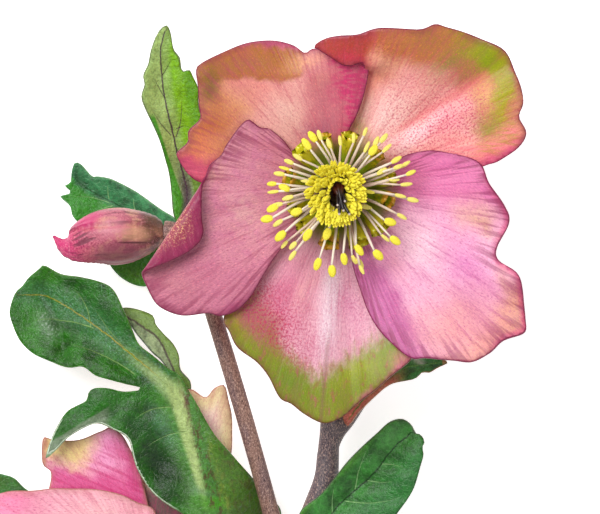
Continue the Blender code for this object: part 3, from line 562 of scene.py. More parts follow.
def tissue(x, y, seed, heading):
    """Fine ridges that follow the veins, so that the sheet isn't perfectly even."""
    turn = math.atan2(y, x) - math.radians(heading)
    turn = math.atan2(math.sin(turn), math.cos(turn))
    r = math.hypot(x, y)
    ridges = math.sin(17 * turn + 0.15 * r + seed) + 0.7 * math.sin(31 * turn - 0.1 * r + 2 * seed)
    swells = math.sin(0.33 * x + 1.7 * seed) * math.sin(0.29 * y + 0.9 * seed)
    return 0.07 * ridges * smooth(8, 18, r) + 0.16 * swells * smooth(8, 20, r)


def make_sepal(name, bloom, level, outline, rise, paint, heading, seed, bend=None, reach=BOWL_REACH, height=BOWL_RISE):
    bx, by, bz = bloom

    def place(x, y):
        up = 0.0
        ripple = tissue(x, y, seed, heading)
        if bend:
            x, y, up = bend(x, y)
        z = bz + level * LAYER + bowl(x, y, reach, height) + rise(x, y) + up + ripple
        return (bx + x, by + y, z)

    rib = [(0.0, 0.0), tuple(SEPAL_REACH * part for part in compass(heading))]
    return make_blade(name + "_skin", name, outline, place, rib, paint, seed)


print("the bowl rises", round(bowl(38, 0) - bowl(0, 0), 1), "mm to the right")

# %% [markdown]
# ### Top left sepal
#
# Its upper margin bends back and shows as an olive brown band. Below it runs a peach trough, then the right
# half turns up; its dusty rose is painted shade, and magenta streaks run along its right edge. The lobe at the
# lower left is coral. The outline was drawn as a ring of points and the colours as soft ovals in the same
# measure, so a patch can be set exactly where the band or the lobe is.

# %% Top left sepal
TOP_LEFT = [
    (-0.2, 3.4), (1.0, 7.5), (1.8, 11.6), (3.2, 14.6), (4.6, 18.4), (5.6, 22.8), (5.8, 25.8), (4.6, 27.2),
    (2.0, 28.0), (-2.0, 28.4), (-5.4, 28.2), (-7.0, 27.4), (-9.4, 29.0), (-13.6, 29.8), (-18.6, 29.4),
    (-23.6, 27.4), (-28.0, 25.0), (-28.8, 23.6), (-28.4, 20.4), (-28.2, 16.6), (-28.0, 14.2), (-30.2, 11.8),
    (-30.4, 9.6), (-32.6, 7.6), (-32.4, 6.2), (-30.0, 2.8), (-27.4, 1.4), (-22.0, 0.8), (-15.0, 0.6),
    (-8.0, 0.8), (-3.4, 0.8),
]


def top_left_rise(x, y):
    back = 0.34 * max(0.0, y - 22.8) ** 1.2 * smooth(2.0, -8.0, x) if x < 2 else 0.0
    return 0.06 * max(0.0, x + 8) - back - 0.22 * max(0.0, -26.5 - x)


def top_left_patches(paint, x, y, edge, spot, past):
    streak = paint.noise(0.5 * x, 1.6 * y, 2.0)
    shaded_right_part = past(0, -10.5, -3.5) * past(80, 30.5, 26.0)
    return [
        ((222, 146, 104), past(180, 15, 25)),
        ((242, 196, 180), spot(-11.0, 15.5, 1.0, 5.5, 1.6, 110)),
        ((230, 132, 118), 0.8 * spot(-16.5, 20.6, 1.0, 3.2, 2.4, -12)),
        ((232, 166, 104), 0.7 * spot(-20.5, 17.0, 0.5, 3.2, 2.0, 0)),
        ((168, 104, 44), past(92, 21.8, 23.8) * past(180, 4.0, 9.0)),
        ((150, 112, 46), 0.8 * spot(-19.0, 25.2, 1.0, 2.6, 2.6, 8)),
        ((126, 94, 38), spot(-25.8, 20.8, 2.4, 2.6, 1.5, 75)),
        ((178, 96, 36), 0.95 * spot(-26.4, 12.6, 3.2, 4.4, 1.6, 30)),
        ((216, 104, 74), 0.9 * spot(-29.6, 7.4, 1.0, 4.0, 1.8, 25)),
        ((204, 66, 112), 0.85 * past(262, -4.5, -1.5) * past(180, 22, 26)),
        # painted shade: the turned-up right half is darkened to dusty rose
        ((190, 104, 116), 0.92 * shaded_right_part),
        ((214, 140, 120), 0.55 * spot(-3.5, 22.6, 1.0, 3.0, 1.8, 30)),
        ((236, 172, 118), 0.9 * spot(-6.5, 25.8, 0.8, 2.2, 2.6, 18)),
        ((196, 52, 104), shaded_right_part * past(8, 0.0, 5.0) * (0.45 + streak.step(0.35, 0.65))),
        ((206, 92, 132), 0.8 * past(88, 27.4, 28.8) * past(180, 2.0, 10.0) * past(0, -26, -19)),
        ((122, 62, 110), 0.7 * spot(-4.8, 11.6, 0.8, 2.6, 1.8, 10)),
    ]


make_sepal(
    "bloom_1_sepal_top_left", BLOOM_1, 1, TOP_LEFT, top_left_rise,
    sepal_paint("top_left_sepal", 128, top_left_patches, tint(230, 160, 152), tint(186, 70, 96), rays=0.22), 128, 11,
)

# %% [markdown]
# ### Top right sepal
#
# The broadest of the five. Its upper left lobe climbs over the tip of its neighbour and is brick red. The top
# is brown, a bright olive band follows the right margin, and a fold runs from the middle out to the right. Its
# shadow is painted along it as a red brown line.
# Below the fold the ground is nearly white and covered in fine magenta freckles, which are made by letting
# small noise through only inside one oval.

# %% Top right sepal
TOP_RIGHT = [
    (0.5, 3.3), (0.0, 8.0), (0.4, 12.0), (1.4, 15.4), (2.6, 19.0), (3.2, 22.0), (4.8, 24.4), (4.4, 25.4),
    (2.4, 24.9), (0.6, 25.0), (-1.2, 26.0), (-4.6, 28.2), (-5.2, 28.8), (-3.0, 30.2), (-0.2, 30.8),
    (3.6, 31.0), (8.0, 32.4), (15.6, 32.0), (19.0, 33.2), (21.6, 32.4), (27.8, 30.4), (32.8, 27.8),
    (35.0, 23.6), (36.2, 20.4), (36.6, 17.2), (35.8, 14.6), (37.2, 11.4), (35.6, 8.4), (31.8, 5.8),
    (29.2, 5.0), (24.0, 3.0), (16.0, 1.6), (8.0, 0.8), (3.4, 0.4),
]
NOTCH = (6.2, 24.1)


def top_right_rise(x, y):
    dx, dy = x - NOTCH[0], y - NOTCH[1]
    lobe = 3.5 * smooth(-1.2, 1.0, math.atan2(dy, dx)) * smooth(22.0, 7.0, math.hypot(dx, dy))
    fold = -1.0 * bump(x * 0.53 - y * 0.848 + 4.0, 2.4) * smooth(6.0, 16.0, x)
    return lobe + fold - 0.10 * max(0.0, x - 31.0) ** 1.3


def top_right_patches(paint, x, y, edge, spot, past):
    freckle = paint.noise(2.4 * x, 2.4 * y, 4.0, 2.0, 0.6).step(0.5, 0.62)
    small = paint.noise(1.9 * x, 1.9 * y, 8.0, 2.0, 0.6).step(0.47, 0.66)
    crease = x * 0.53 - y * 0.848 + 4.0
    rays = paint.noise(0.25 * x, 1.5 * y, 2.0)
    top = past(82, 25.0, 29.6)
    return [
        ((236, 142, 108), 0.85 * spot(6.6, 22.4, 1.5, 4.6, 1.6, 60)),
        ((246, 182, 132), 0.8 * spot(11.0, 25.4, 1.0, 3.8, 1.6, 20)),
        ((246, 150, 150), 0.8 * spot(14.0, 22.0, 1.5, 3.6, 1.5, 30)),
        ((250, 212, 206), 0.95 * spot(9.2, 14.4, 3.0, 5.0, 1.6, 50)),
        ((250, 224, 232), 0.95 * spot(16.2, 11.8, 1.0, 2.8, 3.4, 34)),
        ((186, 110, 46), 0.94 * top),
        ((178, 134, 14), 0.94 * past(8, 26.0, 30.5)),
        ((160, 112, 40), 0.9 * spot(19.0, 30.6, 1.6, 3.6, 3.0, -6)),
        ((142, 124, 50), 0.95 * spot(22.6, 25.2, 2.4, 3.0, 2.0, 18)),
        ((150, 106, 50), 0.85 * spot(26.0, 23.8, 1.4, 2.0, 2.2, 22)),
        ((244, 182, 122), 0.9 * spot(29.0, 19.6, 1.4, 3.2, 1.5, -60)),
        ((134, 150, 0), spot(30.8, 25.2, 3.0, 2.6, 2.6, -48)),
        ((160, 158, 0), spot(32.6, 18.6, 2.2, 2.0, 2.8, -86)),
        ((196, 128, 92), 0.85 * past(0, 33.8, 35.8)),
        ((240, 146, 164), 0.7 * spot(23.0, 13.4, 3.0, 4.5, 1.5, 25)),
        ((180, 34, 90), 0.85 * freckle * spot(21.6, 13.4, 4.4, 6.0, 1.8, 25)),
        ((200, 70, 104), 0.55 * freckle * past(80, 34, 20) * past(0, 5, 12) * past(180, -31, -26)),
        ((134, 132, 34), 0.9 * spot(29.8, 12.6, 1.6, 2.2, 1.7, -8)),
        ((190, 138, 70), 0.9 * spot(31.6, 9.8, 2.0, 2.6, 2.2, 8)),
        ((242, 126, 132), 0.85 * past(285, -4.5, -0.5) * rays.step(0.3, 0.6)),
        ((226, 70, 130), 0.8 * past(290, 2.2, 5.4)),
        ((172, 60, 46), past(170, -3.8, 0.5) * past(90, 22, 25.5)),
        ((196, 44, 76), 0.85 * spot(2.0, 26.0, 0.8, 1.8, 2.0, -10)),
        ((150, 70, 40), 0.6 * small * past(90, 24.0, 28.0) * past(180, -18, -8)),
        # painted shadow: a red brown line along the fold
        ((214, 106, 104), 0.55 * abs(crease).step(1.5, 0.1) * past(0, 8, 14) * past(180, -31, -26)),
        ((136, 146, 40), 0.9 * spot(3.6, 12.4, 1.0, 2.6, 2.0, 75)),
    ]


make_sepal(
    "bloom_1_sepal_top_right", BLOOM_1, 0, TOP_RIGHT, top_right_rise,
    sepal_paint("top_right_sepal", 40, top_right_patches, tint(242, 172, 160), tint(206, 78, 96), rays=0.12), 40, 12,
)

# %% [markdown]
# ### Right sepal
#
# The pinkest one, with a pale middle. Dark lines run along its upper margin, a tan spot lies near the upper
# notch, and the lower right corner is tan shading to olive. Its margin goes up and down in waves, which a
# single sine in the height gives.

# %% Right sepal
RIGHT = [
    (3.4, -0.2), (6.5, 2.6), (12.2, 6.6), (15.8, 7.6), (19.6, 7.8), (25.0, 6.8), (28.2, 5.0), (29.8, 1.2),
    (33.0, -3.2), (33.8, -6.4), (31.4, -11.2), (31.6, -13.8), (35.2, -16.4), (36.4, -20.2), (37.0, -25.6),
    (36.8, -28.6), (32.4, -30.0), (29.8, -32.6), (26.4, -34.4), (22.4, -34.0), (17.0, -33.6), (14.2, -33.6),
    (10.6, -31.0), (6.2, -25.6), (4.0, -19.8), (2.4, -14.4), (1.8, -8.0), (1.6, -3.0),
]


def right_rise(x, y):
    return 0.9 * smooth(20.0, 35.0, x) * math.sin(FULL_TURN * (y + 4.0) / 17.0)


def right_patches(paint, x, y, edge, spot, past):
    freckle = paint.noise(2.2 * x, 2.2 * y, 4.0, 2.0, 0.6).step(0.45, 0.65)
    return [
        ((216, 104, 158), 0.9 * past(84, -3.0, 3.0)),
        ((204, 110, 138), 0.8 * spot(12.6, 3.0, 1.6, 3.8, 1.8, 30)),
        ((250, 212, 222), 0.95 * spot(16.4, -11.8, 2.0, 6.0, 1.9, -52)),
        ((240, 184, 206), 0.7 * spot(12.6, -22.0, 2.0, 6.0, 1.7, -70)),
        ((240, 190, 152), 0.9 * spot(27.0, -5.4, 1.6, 4.0, 1.4, -30)),
        ((202, 150, 96), 0.8 * spot(28.8, -7.2, 0.4, 2.0, 2.0, -25)),
        ((216, 108, 178), 0.9 * spot(25.4, -15.4, 1.0, 3.6, 2.2, -58)),
        ((190, 84, 160), 0.5 * freckle * spot(25.4, -15.6, 1.6, 3.6, 2.0, -58)),
        ((214, 146, 106), 0.95 * past(-42, 36.5, 42.5)),
        ((168, 122, 62), 0.85 * past(-42, 41.5, 45.5)),
        ((222, 150, 140), 0.9 * spot(21.0, -29.0, 2.6, 5.4, 2.4, 4)),
        ((224, 148, 150), 0.8 * spot(24.0, -24.0, 3.4, 5.0, 2.0, 0)),
        ((206, 150, 100), 0.7 * spot(33.4, -18.6, 0.8, 2.6, 2.0, -80)),
        ((198, 104, 124), 0.6 * spot(11.2, -15.0, 0.8, 3.0, 2.4, -62)),
        ((240, 158, 158), 0.6 * past(270, 22.0, 30.0) * past(0, 16.0, 22.0)),
        ((184, 78, 146), 0.85 * past(205, -4.2, 1.0) * past(270, 8, 16)),
        ((232, 86, 132), 0.7 * edge.step(1.6, 0.3) * past(0, 28, 33)),
    ]


make_sepal(
    "bloom_1_sepal_right", BLOOM_1, 1, RIGHT, right_rise,
    sepal_paint("right_sepal", -38, right_patches, tint(238, 162, 196), tint(176, 60, 128), vein_strength=0.5,
                rays=0.5), -38, 13,
)

# %% [markdown]
# ### Bottom sepal
#
# It hangs below the others. A keel runs down its middle with a pale streak beside it, crimson freckles crowd
# the left half, and the lower third is green, along a border in the shape of a wide V. Low down, the shade in
# the keel's valley is painted as a dark brown line.

# %% Bottom sepal
BOTTOM = [
    (0.9, -3.3), (1.8, -4.6), (5.0, -12.0), (9.5, -22.0), (13.0, -29.5), (14.2, -33.6), (8.8, -38.4),
    (3.6, -42.8), (-0.2, -45.6), (-3.4, -46.6), (-7.2, -44.8), (-9.8, -42.8), (-12.0, -41.6), (-14.2, -37.4),
    (-16.8, -34.2), (-20.6, -31.4), (-22.2, -28.2), (-23.2, -25.6), (-20.8, -19.6), (-14.6, -11.6),
    (-6.4, -5.2), (-1.6, -3.4),
]


def bottom_rise(x, y):
    middle = x + 0.073 * y
    return -0.9 * bump(middle, 2.4) * smooth(-6.0, -16.0, y) - 0.011 * max(0.0, -28.0 - y) ** 2


def bottom_patches(paint, x, y, edge, spot, past):
    freckle = paint.noise(2.1 * x, 2.1 * y, 4.0, 2.0, 0.65).step(0.46, 0.6)
    ragged = paint.noise(0.9 * x, 0.35 * y, 6.0, 3.0, 0.6)
    depth = 0.62 * abs(x + 4.4) - y + 8.0 * (ragged - 0.5)
    green = depth.step(34.0, 40.5)
    keel = x - 0.09 * y + 0.2
    return [
        ((206, 112, 142), 0.85 * spot(-10.5, -20.5, 4.0, 5.0, 1.7, 60)),
        ((198, 116, 152), 0.85 * spot(2.4, -23.0, 2.0, 3.6, 2.4, 100)),
        ((226, 202, 212), 0.85 * abs(keel - 0.2).step(3.2, 0.2) * past(270, 13, 19) * past(90, -37, -30)),
        ((226, 168, 150), 0.6 * spot(-7.0, -20.5, 0.5, 2.6, 2.4, 85)),
        ((206, 84, 118), 0.55 * spot(-11.6, -26.0, 2.0, 5.0, 1.7, 122)),
        ((178, 34, 84), 0.95 * freckle * spot(-11.6, -25.6, 3.4, 5.4, 1.7, 120)),
        ((176, 60, 104), 0.5 * freckle * spot(-5.8, -32.0, 2.0, 5.0, 1.4, 95)),
        ((176, 76, 118), 0.7 * freckle * spot(3.0, -23.0, 3.0, 5.0, 1.8, 105)),
        ((150, 98, 50), 0.9 * past(205, 20.0, 26.0)),
        ((178, 34, 84), 0.8 * freckle * past(205, 19.0, 24.0) * past(205, 31.0, 27.0)),
        ((156, 134, 34), 0.95 * past(205, 27.5, 31.5)),
        ((122, 138, 14), green),
        ((96, 130, 12), 0.8 * green * spot(-9.6, -38.6, 2.0, 4.0, 1.4, -40)),
        ((172, 176, 50), 0.6 * green * spot(3.4, -36.0, 1.2, 3.6, 1.8, 35)),
        ((150, 96, 60), 0.7 * green * ragged.step(0.5, 0.7)),
        ((206, 90, 140), 0.8 * edge.step(2.2, 0.5) * past(-40, 30.0, 33.0)),
        ((190, 124, 110), 0.85 * spot(12.6, -33.6, 1.2, 2.6, 1.6, 45)),
        # painted shade: a dark line in the keel's valley
        ((124, 84, 66), 0.5 * abs(keel - 0.5).step(0.8, 0.0) * past(270, 27, 33)),
    ]


make_sepal(
    "bloom_1_sepal_bottom", BLOOM_1, 0, BOTTOM, bottom_rise,
    sepal_paint("bottom_sepal", -98, bottom_patches, tint(226, 170, 184), tint(186, 84, 120), tint(112, 52, 44),
                rays=0.14), -98, 14,
)

# %% [markdown]
# ### Left sepal
#
# Its outer margin rolls over towards the middle and shows the freckled reverse of the sheet. The roll is made
# the way paper is rolled: every point past a line is wound round a small cylinder along it, and what is left
# over lies flat again on the other side. The sheet's own map isn't rolled, so the paint can tell the rolled
# part from the rest by its place on the flat sheet.

# %% Left sepal
LEFT = [
    (-3.2, 0.2), (-6.0, 4.4), (-9.4, 7.4), (-11.2, 10.0), (-14.0, 12.2), (-15.8, 12.4), (-17.4, 13.6),
    (-18.6, 14.0), (-20.6, 12.0), (-22.8, 9.0), (-23.8, 6.8), (-26.2, 4.8), (-27.4, 2.6), (-31.4, 1.0),
    (-35.3, -0.6), (-38.4, -1.7), (-40.1, -4.3), (-40.6, -8.5), (-40.6, -12.4), (-40.2, -15.4),
    (-38.2, -20.2), (-36.0, -23.4), (-31.8, -25.0), (-26.4, -24.6), (-23.8, -25.2), (-20.6, -24.2),
    (-18.0, -21.4), (-15.2, -17.0), (-12.0, -12.2), (-7.0, -6.6), (-2.6, -2.4),
]
ROLL_START, ROLL_ALONG, ROLL_OUT = (-27.2, 1.6), (-0.557, -0.831), (-0.831, 0.557)
ROLL_LENGTH, ROLL_RADIUS = 21.0, 1.5


def rolled(x, y):
    """Where a point of the flat sheet goes: (x, y, extra height)."""
    dx, dy = x - ROLL_START[0], y - ROLL_START[1]
    along = dx * ROLL_ALONG[0] + dy * ROLL_ALONG[1]
    past = dx * ROLL_OUT[0] + dy * ROLL_OUT[1] + ROLL_RADIUS
    if past <= 0:
        return x, y, 0.0
    angle = min(past / ROLL_RADIUS, math.pi)
    out = ROLL_RADIUS * math.sin(angle) - max(0.0, past - math.pi * ROLL_RADIUS)
    up = ROLL_RADIUS * (1 - math.cos(angle))
    share = smooth(-5.0, 2.0, along) * (1 - smooth(ROLL_LENGTH, ROLL_LENGTH + 4.0, along))
    moved = share * (out - past)
    return x + moved * ROLL_OUT[0], y + moved * ROLL_OUT[1], share * up


def left_rise(x, y):
    return -0.5 * bump(y + 8.0, 6.0) * smooth(-10.0, -22.0, x) - 0.07 * max(0.0, -18.0 - y) ** 1.3


def left_patches(paint, x, y, edge, spot, past):
    over = (x - ROLL_START[0]) * ROLL_OUT[0] + (y - ROLL_START[1]) * ROLL_OUT[1] + ROLL_RADIUS
    reverse = over.step(1.6, 2.6) * (y + 0.9 * x).step(-56, -52)
    freckle = paint.noise(2.2 * x, 2.2 * y, 4.0, 3.0, 0.7).step(0.5, 0.62)
    mottle = paint.noise(0.5 * x, 0.5 * y, 14.0).step(0.42, 0.66)
    return [
        ((192, 92, 118), 0.85 * past(25, -7.5, -1.0)),
        ((188, 96, 116), 0.8 * spot(-14.0, 9.0, 1.6, 4.0, 1.6, -30)),
        ((214, 158, 138), 0.85 * spot(-24.4, 3.0, 0.8, 3.2, 2.0, -70)),
        ((206, 108, 150), 0.6 * spot(-22.4, -0.8, 1.0, 3.2, 1.5, 20)),
        ((224, 172, 168), 0.85 * spot(-19.4, -4.6, 1.4, 4.2, 1.6, -70)),
        ((204, 118, 152), 0.5 * mottle),
        ((206, 160, 138), 0.8 * spot(-33.6, -18.0, 1.6, 4.0, 1.8, -30)),
        ((190, 108, 134), 0.7 * past(262, 13.0, 21.0)),
        ((150, 44, 96), 0.85 * past(-60, 7.0, 12.0) * past(270, 13, 19)),
        ((148, 60, 72), reverse),
        ((228, 172, 128), 0.9 * reverse * freckle),
        ((140, 30, 80), 0.9 * reverse * edge.step(4.2, 1.0)),
    ]


make_sepal(
    "bloom_1_sepal_left", BLOOM_1, 2, LEFT, left_rise,
    sepal_paint("left_sepal", 198, left_patches, tint(212, 138, 154), tint(158, 58, 96), rays=0.5), 198, 15,
    bend=rolled,
)

# %% [markdown]
# ## The second bloom
#
# A younger bloom opens lower on the stem, on the same plan, partly under the large leaf. It is paler and
# clearer in colour: hot pink with yellow green tips. The same two functions draw it, with its own outlines.

# %% Second bloom's sepals
SECOND_UPPER = [
    (2.0, 3.0), (6.5, 7.0), (12.0, 13.5), (15.0, 19.5), (16.2, 26.4), (16.4, 32.0), (15.8, 36.4), (14.9, 39.8),
    (12.8, 39.2), (11.0, 37.4), (8.0, 39.0), (4.6, 38.0), (0.6, 33.0), (-2.6, 24.0), (-3.4, 14.0), (-1.6, 4.0),
]
SECOND_UPPER_LEFT = [
    (-0.6, 3.4), (0.0, 12.0), (-2.0, 22.0), (-5.0, 28.6), (-7.8, 31.4), (-10.0, 30.6), (-14.2, 29.0),
    (-19.2, 28.8), (-21.6, 29.2), (-21.6, 24.2), (-20.0, 22.4), (-20.6, 18.8), (-23.0, 13.0), (-18.0, 8.0),
    (-8.0, 3.4), (-3.2, 1.4),
]
SECOND_LEFT = [
    (-3.4, 1.6), (-1.4, 3.8), (0.6, 9.0), (0.8, 14.4), (-2.8, 16.4), (-7.2, 18.2), (-15.0, 19.2), (-22.8, 18.8),
    (-30.0, 18.2), (-34.4, 15.4), (-36.8, 10.0), (-37.2, 4.0), (-35.0, -2.0), (-36.2, -7.0), (-32.0, -13.0),
    (-25.0, -16.6), (-16.0, -15.0), (-8.0, -8.4), (-3.6, -2.4),
]
SECOND_LOWER = [
    (-3.4, -2.6), (-9.0, -8.0), (-14.4, -16.0), (-16.8, -24.0), (-15.2, -30.0), (-9.4, -34.2), (-3.0, -37.2),
    (3.6, -38.6), (9.4, -36.6), (14.6, -33.0), (18.8, -27.4), (19.6, -21.0), (15.8, -13.0), (9.0, -6.6),
    (3.0, -3.2), (0.0, -3.8),
]
SECOND_RIGHT = [
    (2.8, -2.2), (9.0, -8.4), (16.0, -14.0), (23.0, -17.4), (28.6, -16.0), (32.6, -11.6), (33.6, -5.4),
    (32.2, -0.6), (29.0, 3.6), (23.6, 4.8), (16.0, 5.0), (8.0, 4.0), (3.2, 1.4),
]
SECOND_REACH, SECOND_RISE = 36.0, 5.5


def tip_back(x, y):
    return -0.12 * max(0.0, math.hypot(x, y) - 30.0) ** 1.3


def level_sheet(x, y):
    return 0.0


def upper_left_patches(paint, x, y, edge, spot, past):
    streaks = paint.noise(0.11 * x - 0.05 * y, 0.5 * x + 1.1 * y, 2.0, 2.0).step(0.46, 0.62)
    return [
        ((232, 130, 186), 0.8 * spot(-8.0, 28.0, 1.0, 4.0, 1.6, 10)),
        ((214, 30, 118), 0.95 * spot(-3.2, 24.0, 2.0, 3.6, 2.4, -62)),
        ((218, 72, 138), 0.8 * past(265, -24.0, -19.0)),
        ((200, 40, 110), 0.5 * streaks * past(265, -29.0, -24.0)),
        ((250, 226, 150), past(170, 14.0, 20.0) * past(75, 17, 21)),
        ((196, 150, 110), 0.9 * past(180, 20.2, 21.6)),
    ]


def left_front_patches(paint, x, y, edge, spot, past):
    return [
        ((255, 140, 182), 0.9 * past(180, 18.0, 32.0)),
        ((252, 200, 200), 0.8 * spot(-12.0, 14.0, 2.0, 6.0, 2.0, 0)),
        ((170, 176, 92), 0.8 * past(215, 33.0, 38.0)),
    ]


def tan_edge_and_shade_patches(paint, x, y, edge, spot, past):
    return [
        ((236, 214, 158), 0.9 * edge.step(4.2, 1.0)),
        # painted shade: the part near the base lies in shadow and is darkened to brown
        ((92, 54, 64), 0.9 * past(270, -22.0, -17.5)),
        ((226, 158, 150), 0.7 * spot(9.0, 28.0, 0.6, 3.0, 3.0, 80)),
    ]


def green_tip_patches(paint, x, y, edge, spot, past):
    tip = ((x * x + y * y) ** 0.5).step(27.0, 34.0)
    return [
        ((212, 92, 148), 0.5 * paint.noise(0.25 * x, 0.25 * y).step(0.4, 0.7)),
        ((166, 170, 84), 0.85 * tip),
    ]


second_sepals = [
    ("lower", 0, SECOND_LOWER, tip_back, green_tip_patches, -85, tint(232, 142, 176)),
    ("upper", 0, SECOND_UPPER, level_sheet, tan_edge_and_shade_patches, 72, tint(252, 222, 206)),
    ("upper_left", 1, SECOND_UPPER_LEFT, level_sheet, upper_left_patches, 122, tint(255, 172, 212)),
    ("right", 1, SECOND_RIGHT, level_sheet, green_tip_patches, -16, tint(228, 132, 166)),
    ("left", 2, SECOND_LEFT, tip_back, left_front_patches, 172, tint(255, 178, 198)),
]
for k, (which, level, outline, rise, patches, heading, ground) in enumerate(second_sepals):
    skin = sepal_paint("second_" + which, heading, patches, ground, tint(196, 40, 110), tint(176, 116, 100), 0.35, 0.12)
    make_sepal("bloom_2_sepal_" + which, BLOOM_2, level, outline, rise, skin, heading, 21 + k,
               reach=SECOND_REACH, height=SECOND_RISE)

# %% [markdown]
# ## The middle of a bloom
#
# Inside the sepals stand three kinds of small organs. Nectaries are short green horns in a ring. Stamens are
# pale threads, each with a yellow anther that is two pods side by side. In the very middle are the dark
# styles. There are dozens of each, all a little different, so one function draws one organ into a heap of
# points and faces, a seeded random draw varies it, and each heap becomes one mesh.

# %% A heap of small organs
class Heap:
    """Points and faces of many small shapes. Two values go with each point, for the paint."""

    def __init__(self):
        self.points, self.faces, self.values = [], [], []

    def loft(self, rings, values):
        """Joins rings of points into a closed tube. values has one pair for each ring."""
        first, count = len(self.points), len(rings[0])
        for ring, value in zip(rings, values):
            self.points += [tuple(p) for p in ring]
            self.values += [value] * count
        for k in range(len(rings) - 1):
            for i in range(count):
                a, b = first + k * count + i, first + k * count + (i + 1) % count
                self.faces.append((a, b, b + count, a + count))
        last = first + (len(rings) - 1) * count
        self.faces.append(tuple(first + i for i in reversed(range(count))))
        self.faces.append(tuple(last + i for i in range(count)))

    def make(self, name, node, paint):
        obj = bpy.data.objects.new(name, mapped_mesh(name, self.points, self.faces, {"organ": self.values}))
        finish_mesh(obj, [node], paint)
        print(f"{name}: {len(self.faces)} faces")
        return obj


def tube_rings(path, radii, sides, flat=1.0):
    """Rings of points round a path. flat squeezes the section up and down."""
    path = [Vector(p) for p in path]
    rings = []
    for k, (centre, radius) in enumerate(zip(path, map(float, radii))):
        ahead = (path[min(k + 1, len(path) - 1)] - path[max(k - 1, 0)]).normalized()
        across = ahead.cross(Vector((0, 0, 1)))
        across = across.normalized() if across.length > 1e-3 else Vector((1, 0, 0))
        up = across.cross(ahead)
        angles = [FULL_TURN * i / sides for i in range(sides)]
        rings.append([centre + radius * (math.cos(a) * across + flat * math.sin(a) * up) for a in angles])
    return rings


def curved(points, count):
    """count points along the smooth curve through the given ones."""
    path = curve_through(points, False, 0.2)
    return [path[round(k * (len(path) - 1) / (count - 1))] for k in range(count)]


def polar(bloom, radius, angle, up):
    x, y, z = bloom
    return (x + radius * math.cos(angle), y + radius * math.sin(angle), z + up)


print("a tube of 5 rings with 6 sides has", 4 * 6, "side faces")

# %% [markdown]
# ### Paint for the small organs
#
# The heap's map says how far along an organ a point lies, from 0 at its root to 1 at its tip, and carries one
# random number for each organ. So a nectary can shade from green at the root to an orange rim, and no two
# anthers have quite the same yellow.

# %% Organ paints
def nectary_paint():
    paint = Paint("nectary_skin", 0.3, Coat_Weight=0.25)
    along, lot = paint.map("organ", 1)
    x, y, z = paint.place()
    cloud = paint.noise(1.2 * x, 1.2 * y, 1.2 * z)
    colour = paint.layered(tint(134, 162, 18), [
        ((220, 214, 40), (along + 0.6 * (cloud - 0.5)).step(0.2, 0.7)),
        ((136, 166, 24), (cloud + 0.4 * (lot - 0.5)).step(0.5, 0.8)),
        ((224, 168, 44), (along + 0.3 * (lot - 0.5)).step(0.84, 1.0)),
    ])
    paint.feed("Base Color", colour)
    paint.feed("Normal", paint.bump(cloud, 0.4, 0.2))
    return paint.material


def stamen_paint():
    """0 to 0.5 along the map is the thread, above 0.5 the anther."""
    paint = Paint("stamen_skin", 0.5)
    along, lot = paint.map("organ", 1)
    x, y, z = paint.place()
    pollen_and_shade = paint.noise(7 * x, 7 * y, 7 * z, 2.0, 0.7)
    in_anther = along.step(0.49, 0.51)
    thread = paint.layered(tint(140, 112, 84), [
        ((240, 226, 206), along.step(0.05, 0.42)),
        ((208, 172, 150), 0.6 * lot.step(0.45, 1.0)),
    ])
    anther = paint.layered(tint(242, 228, 44), [
        ((238, 224, 110), lot.step(0.36, 0.6)),
        # one noise lightens the yellow in places, and its darker olive flecks are painted shade between the pods
        ((252, 244, 130), 0.4 * pollen_and_shade.step(0.4, 0.75)),
        ((180, 152, 16), 0.6 * pollen_and_shade.step(0.45, 0.32)),
    ])
    paint.feed("Base Color", paint.mix(in_anther, thread, anther))
    paint.feed("Roughness", 0.38 + 0.3 * in_anther)
    paint.feed("Normal", paint.bump(pollen_and_shade, 0.5, 0.12))
    return paint.material


def style_paint():
    paint = Paint("style_skin", 0.35)
    along, _ = paint.map("organ", 1)
    paint.feed("Base Color", paint.layered(tint(104, 32, 20), [
        ((24, 10, 16), along.step(0.25, 0.7)),
        ((226, 206, 196), along.step(0.96, 0.99)),
    ]))
    return paint.material


nectary_skin, stamen_skin, style_skin = nectary_paint(), stamen_paint(), style_paint()
print("organ paints:", nectary_skin.name, stamen_skin.name, style_skin.name)

# %% [markdown]
# ### Nectaries
#
# Each is a small horn that leans out from a low ring, a little flattened, with an open mouth. The mouth is
# made by letting the rings of the tube turn back inside themselves and end in a floor.

# %% Nectaries
NECTARY_FOOT = 4.3  # height of the low ring over the bloom's base
NECTARY_RADII = [0.7, 0.8, 1.0, 1.2, 1.4, 1.55, 1.6, 1.65, 1.85]
MOUTH_DEPTHS = (0.84, 0.72, 0.6, 0.3)  # size of each ring inside the mouth, as a share of the rim


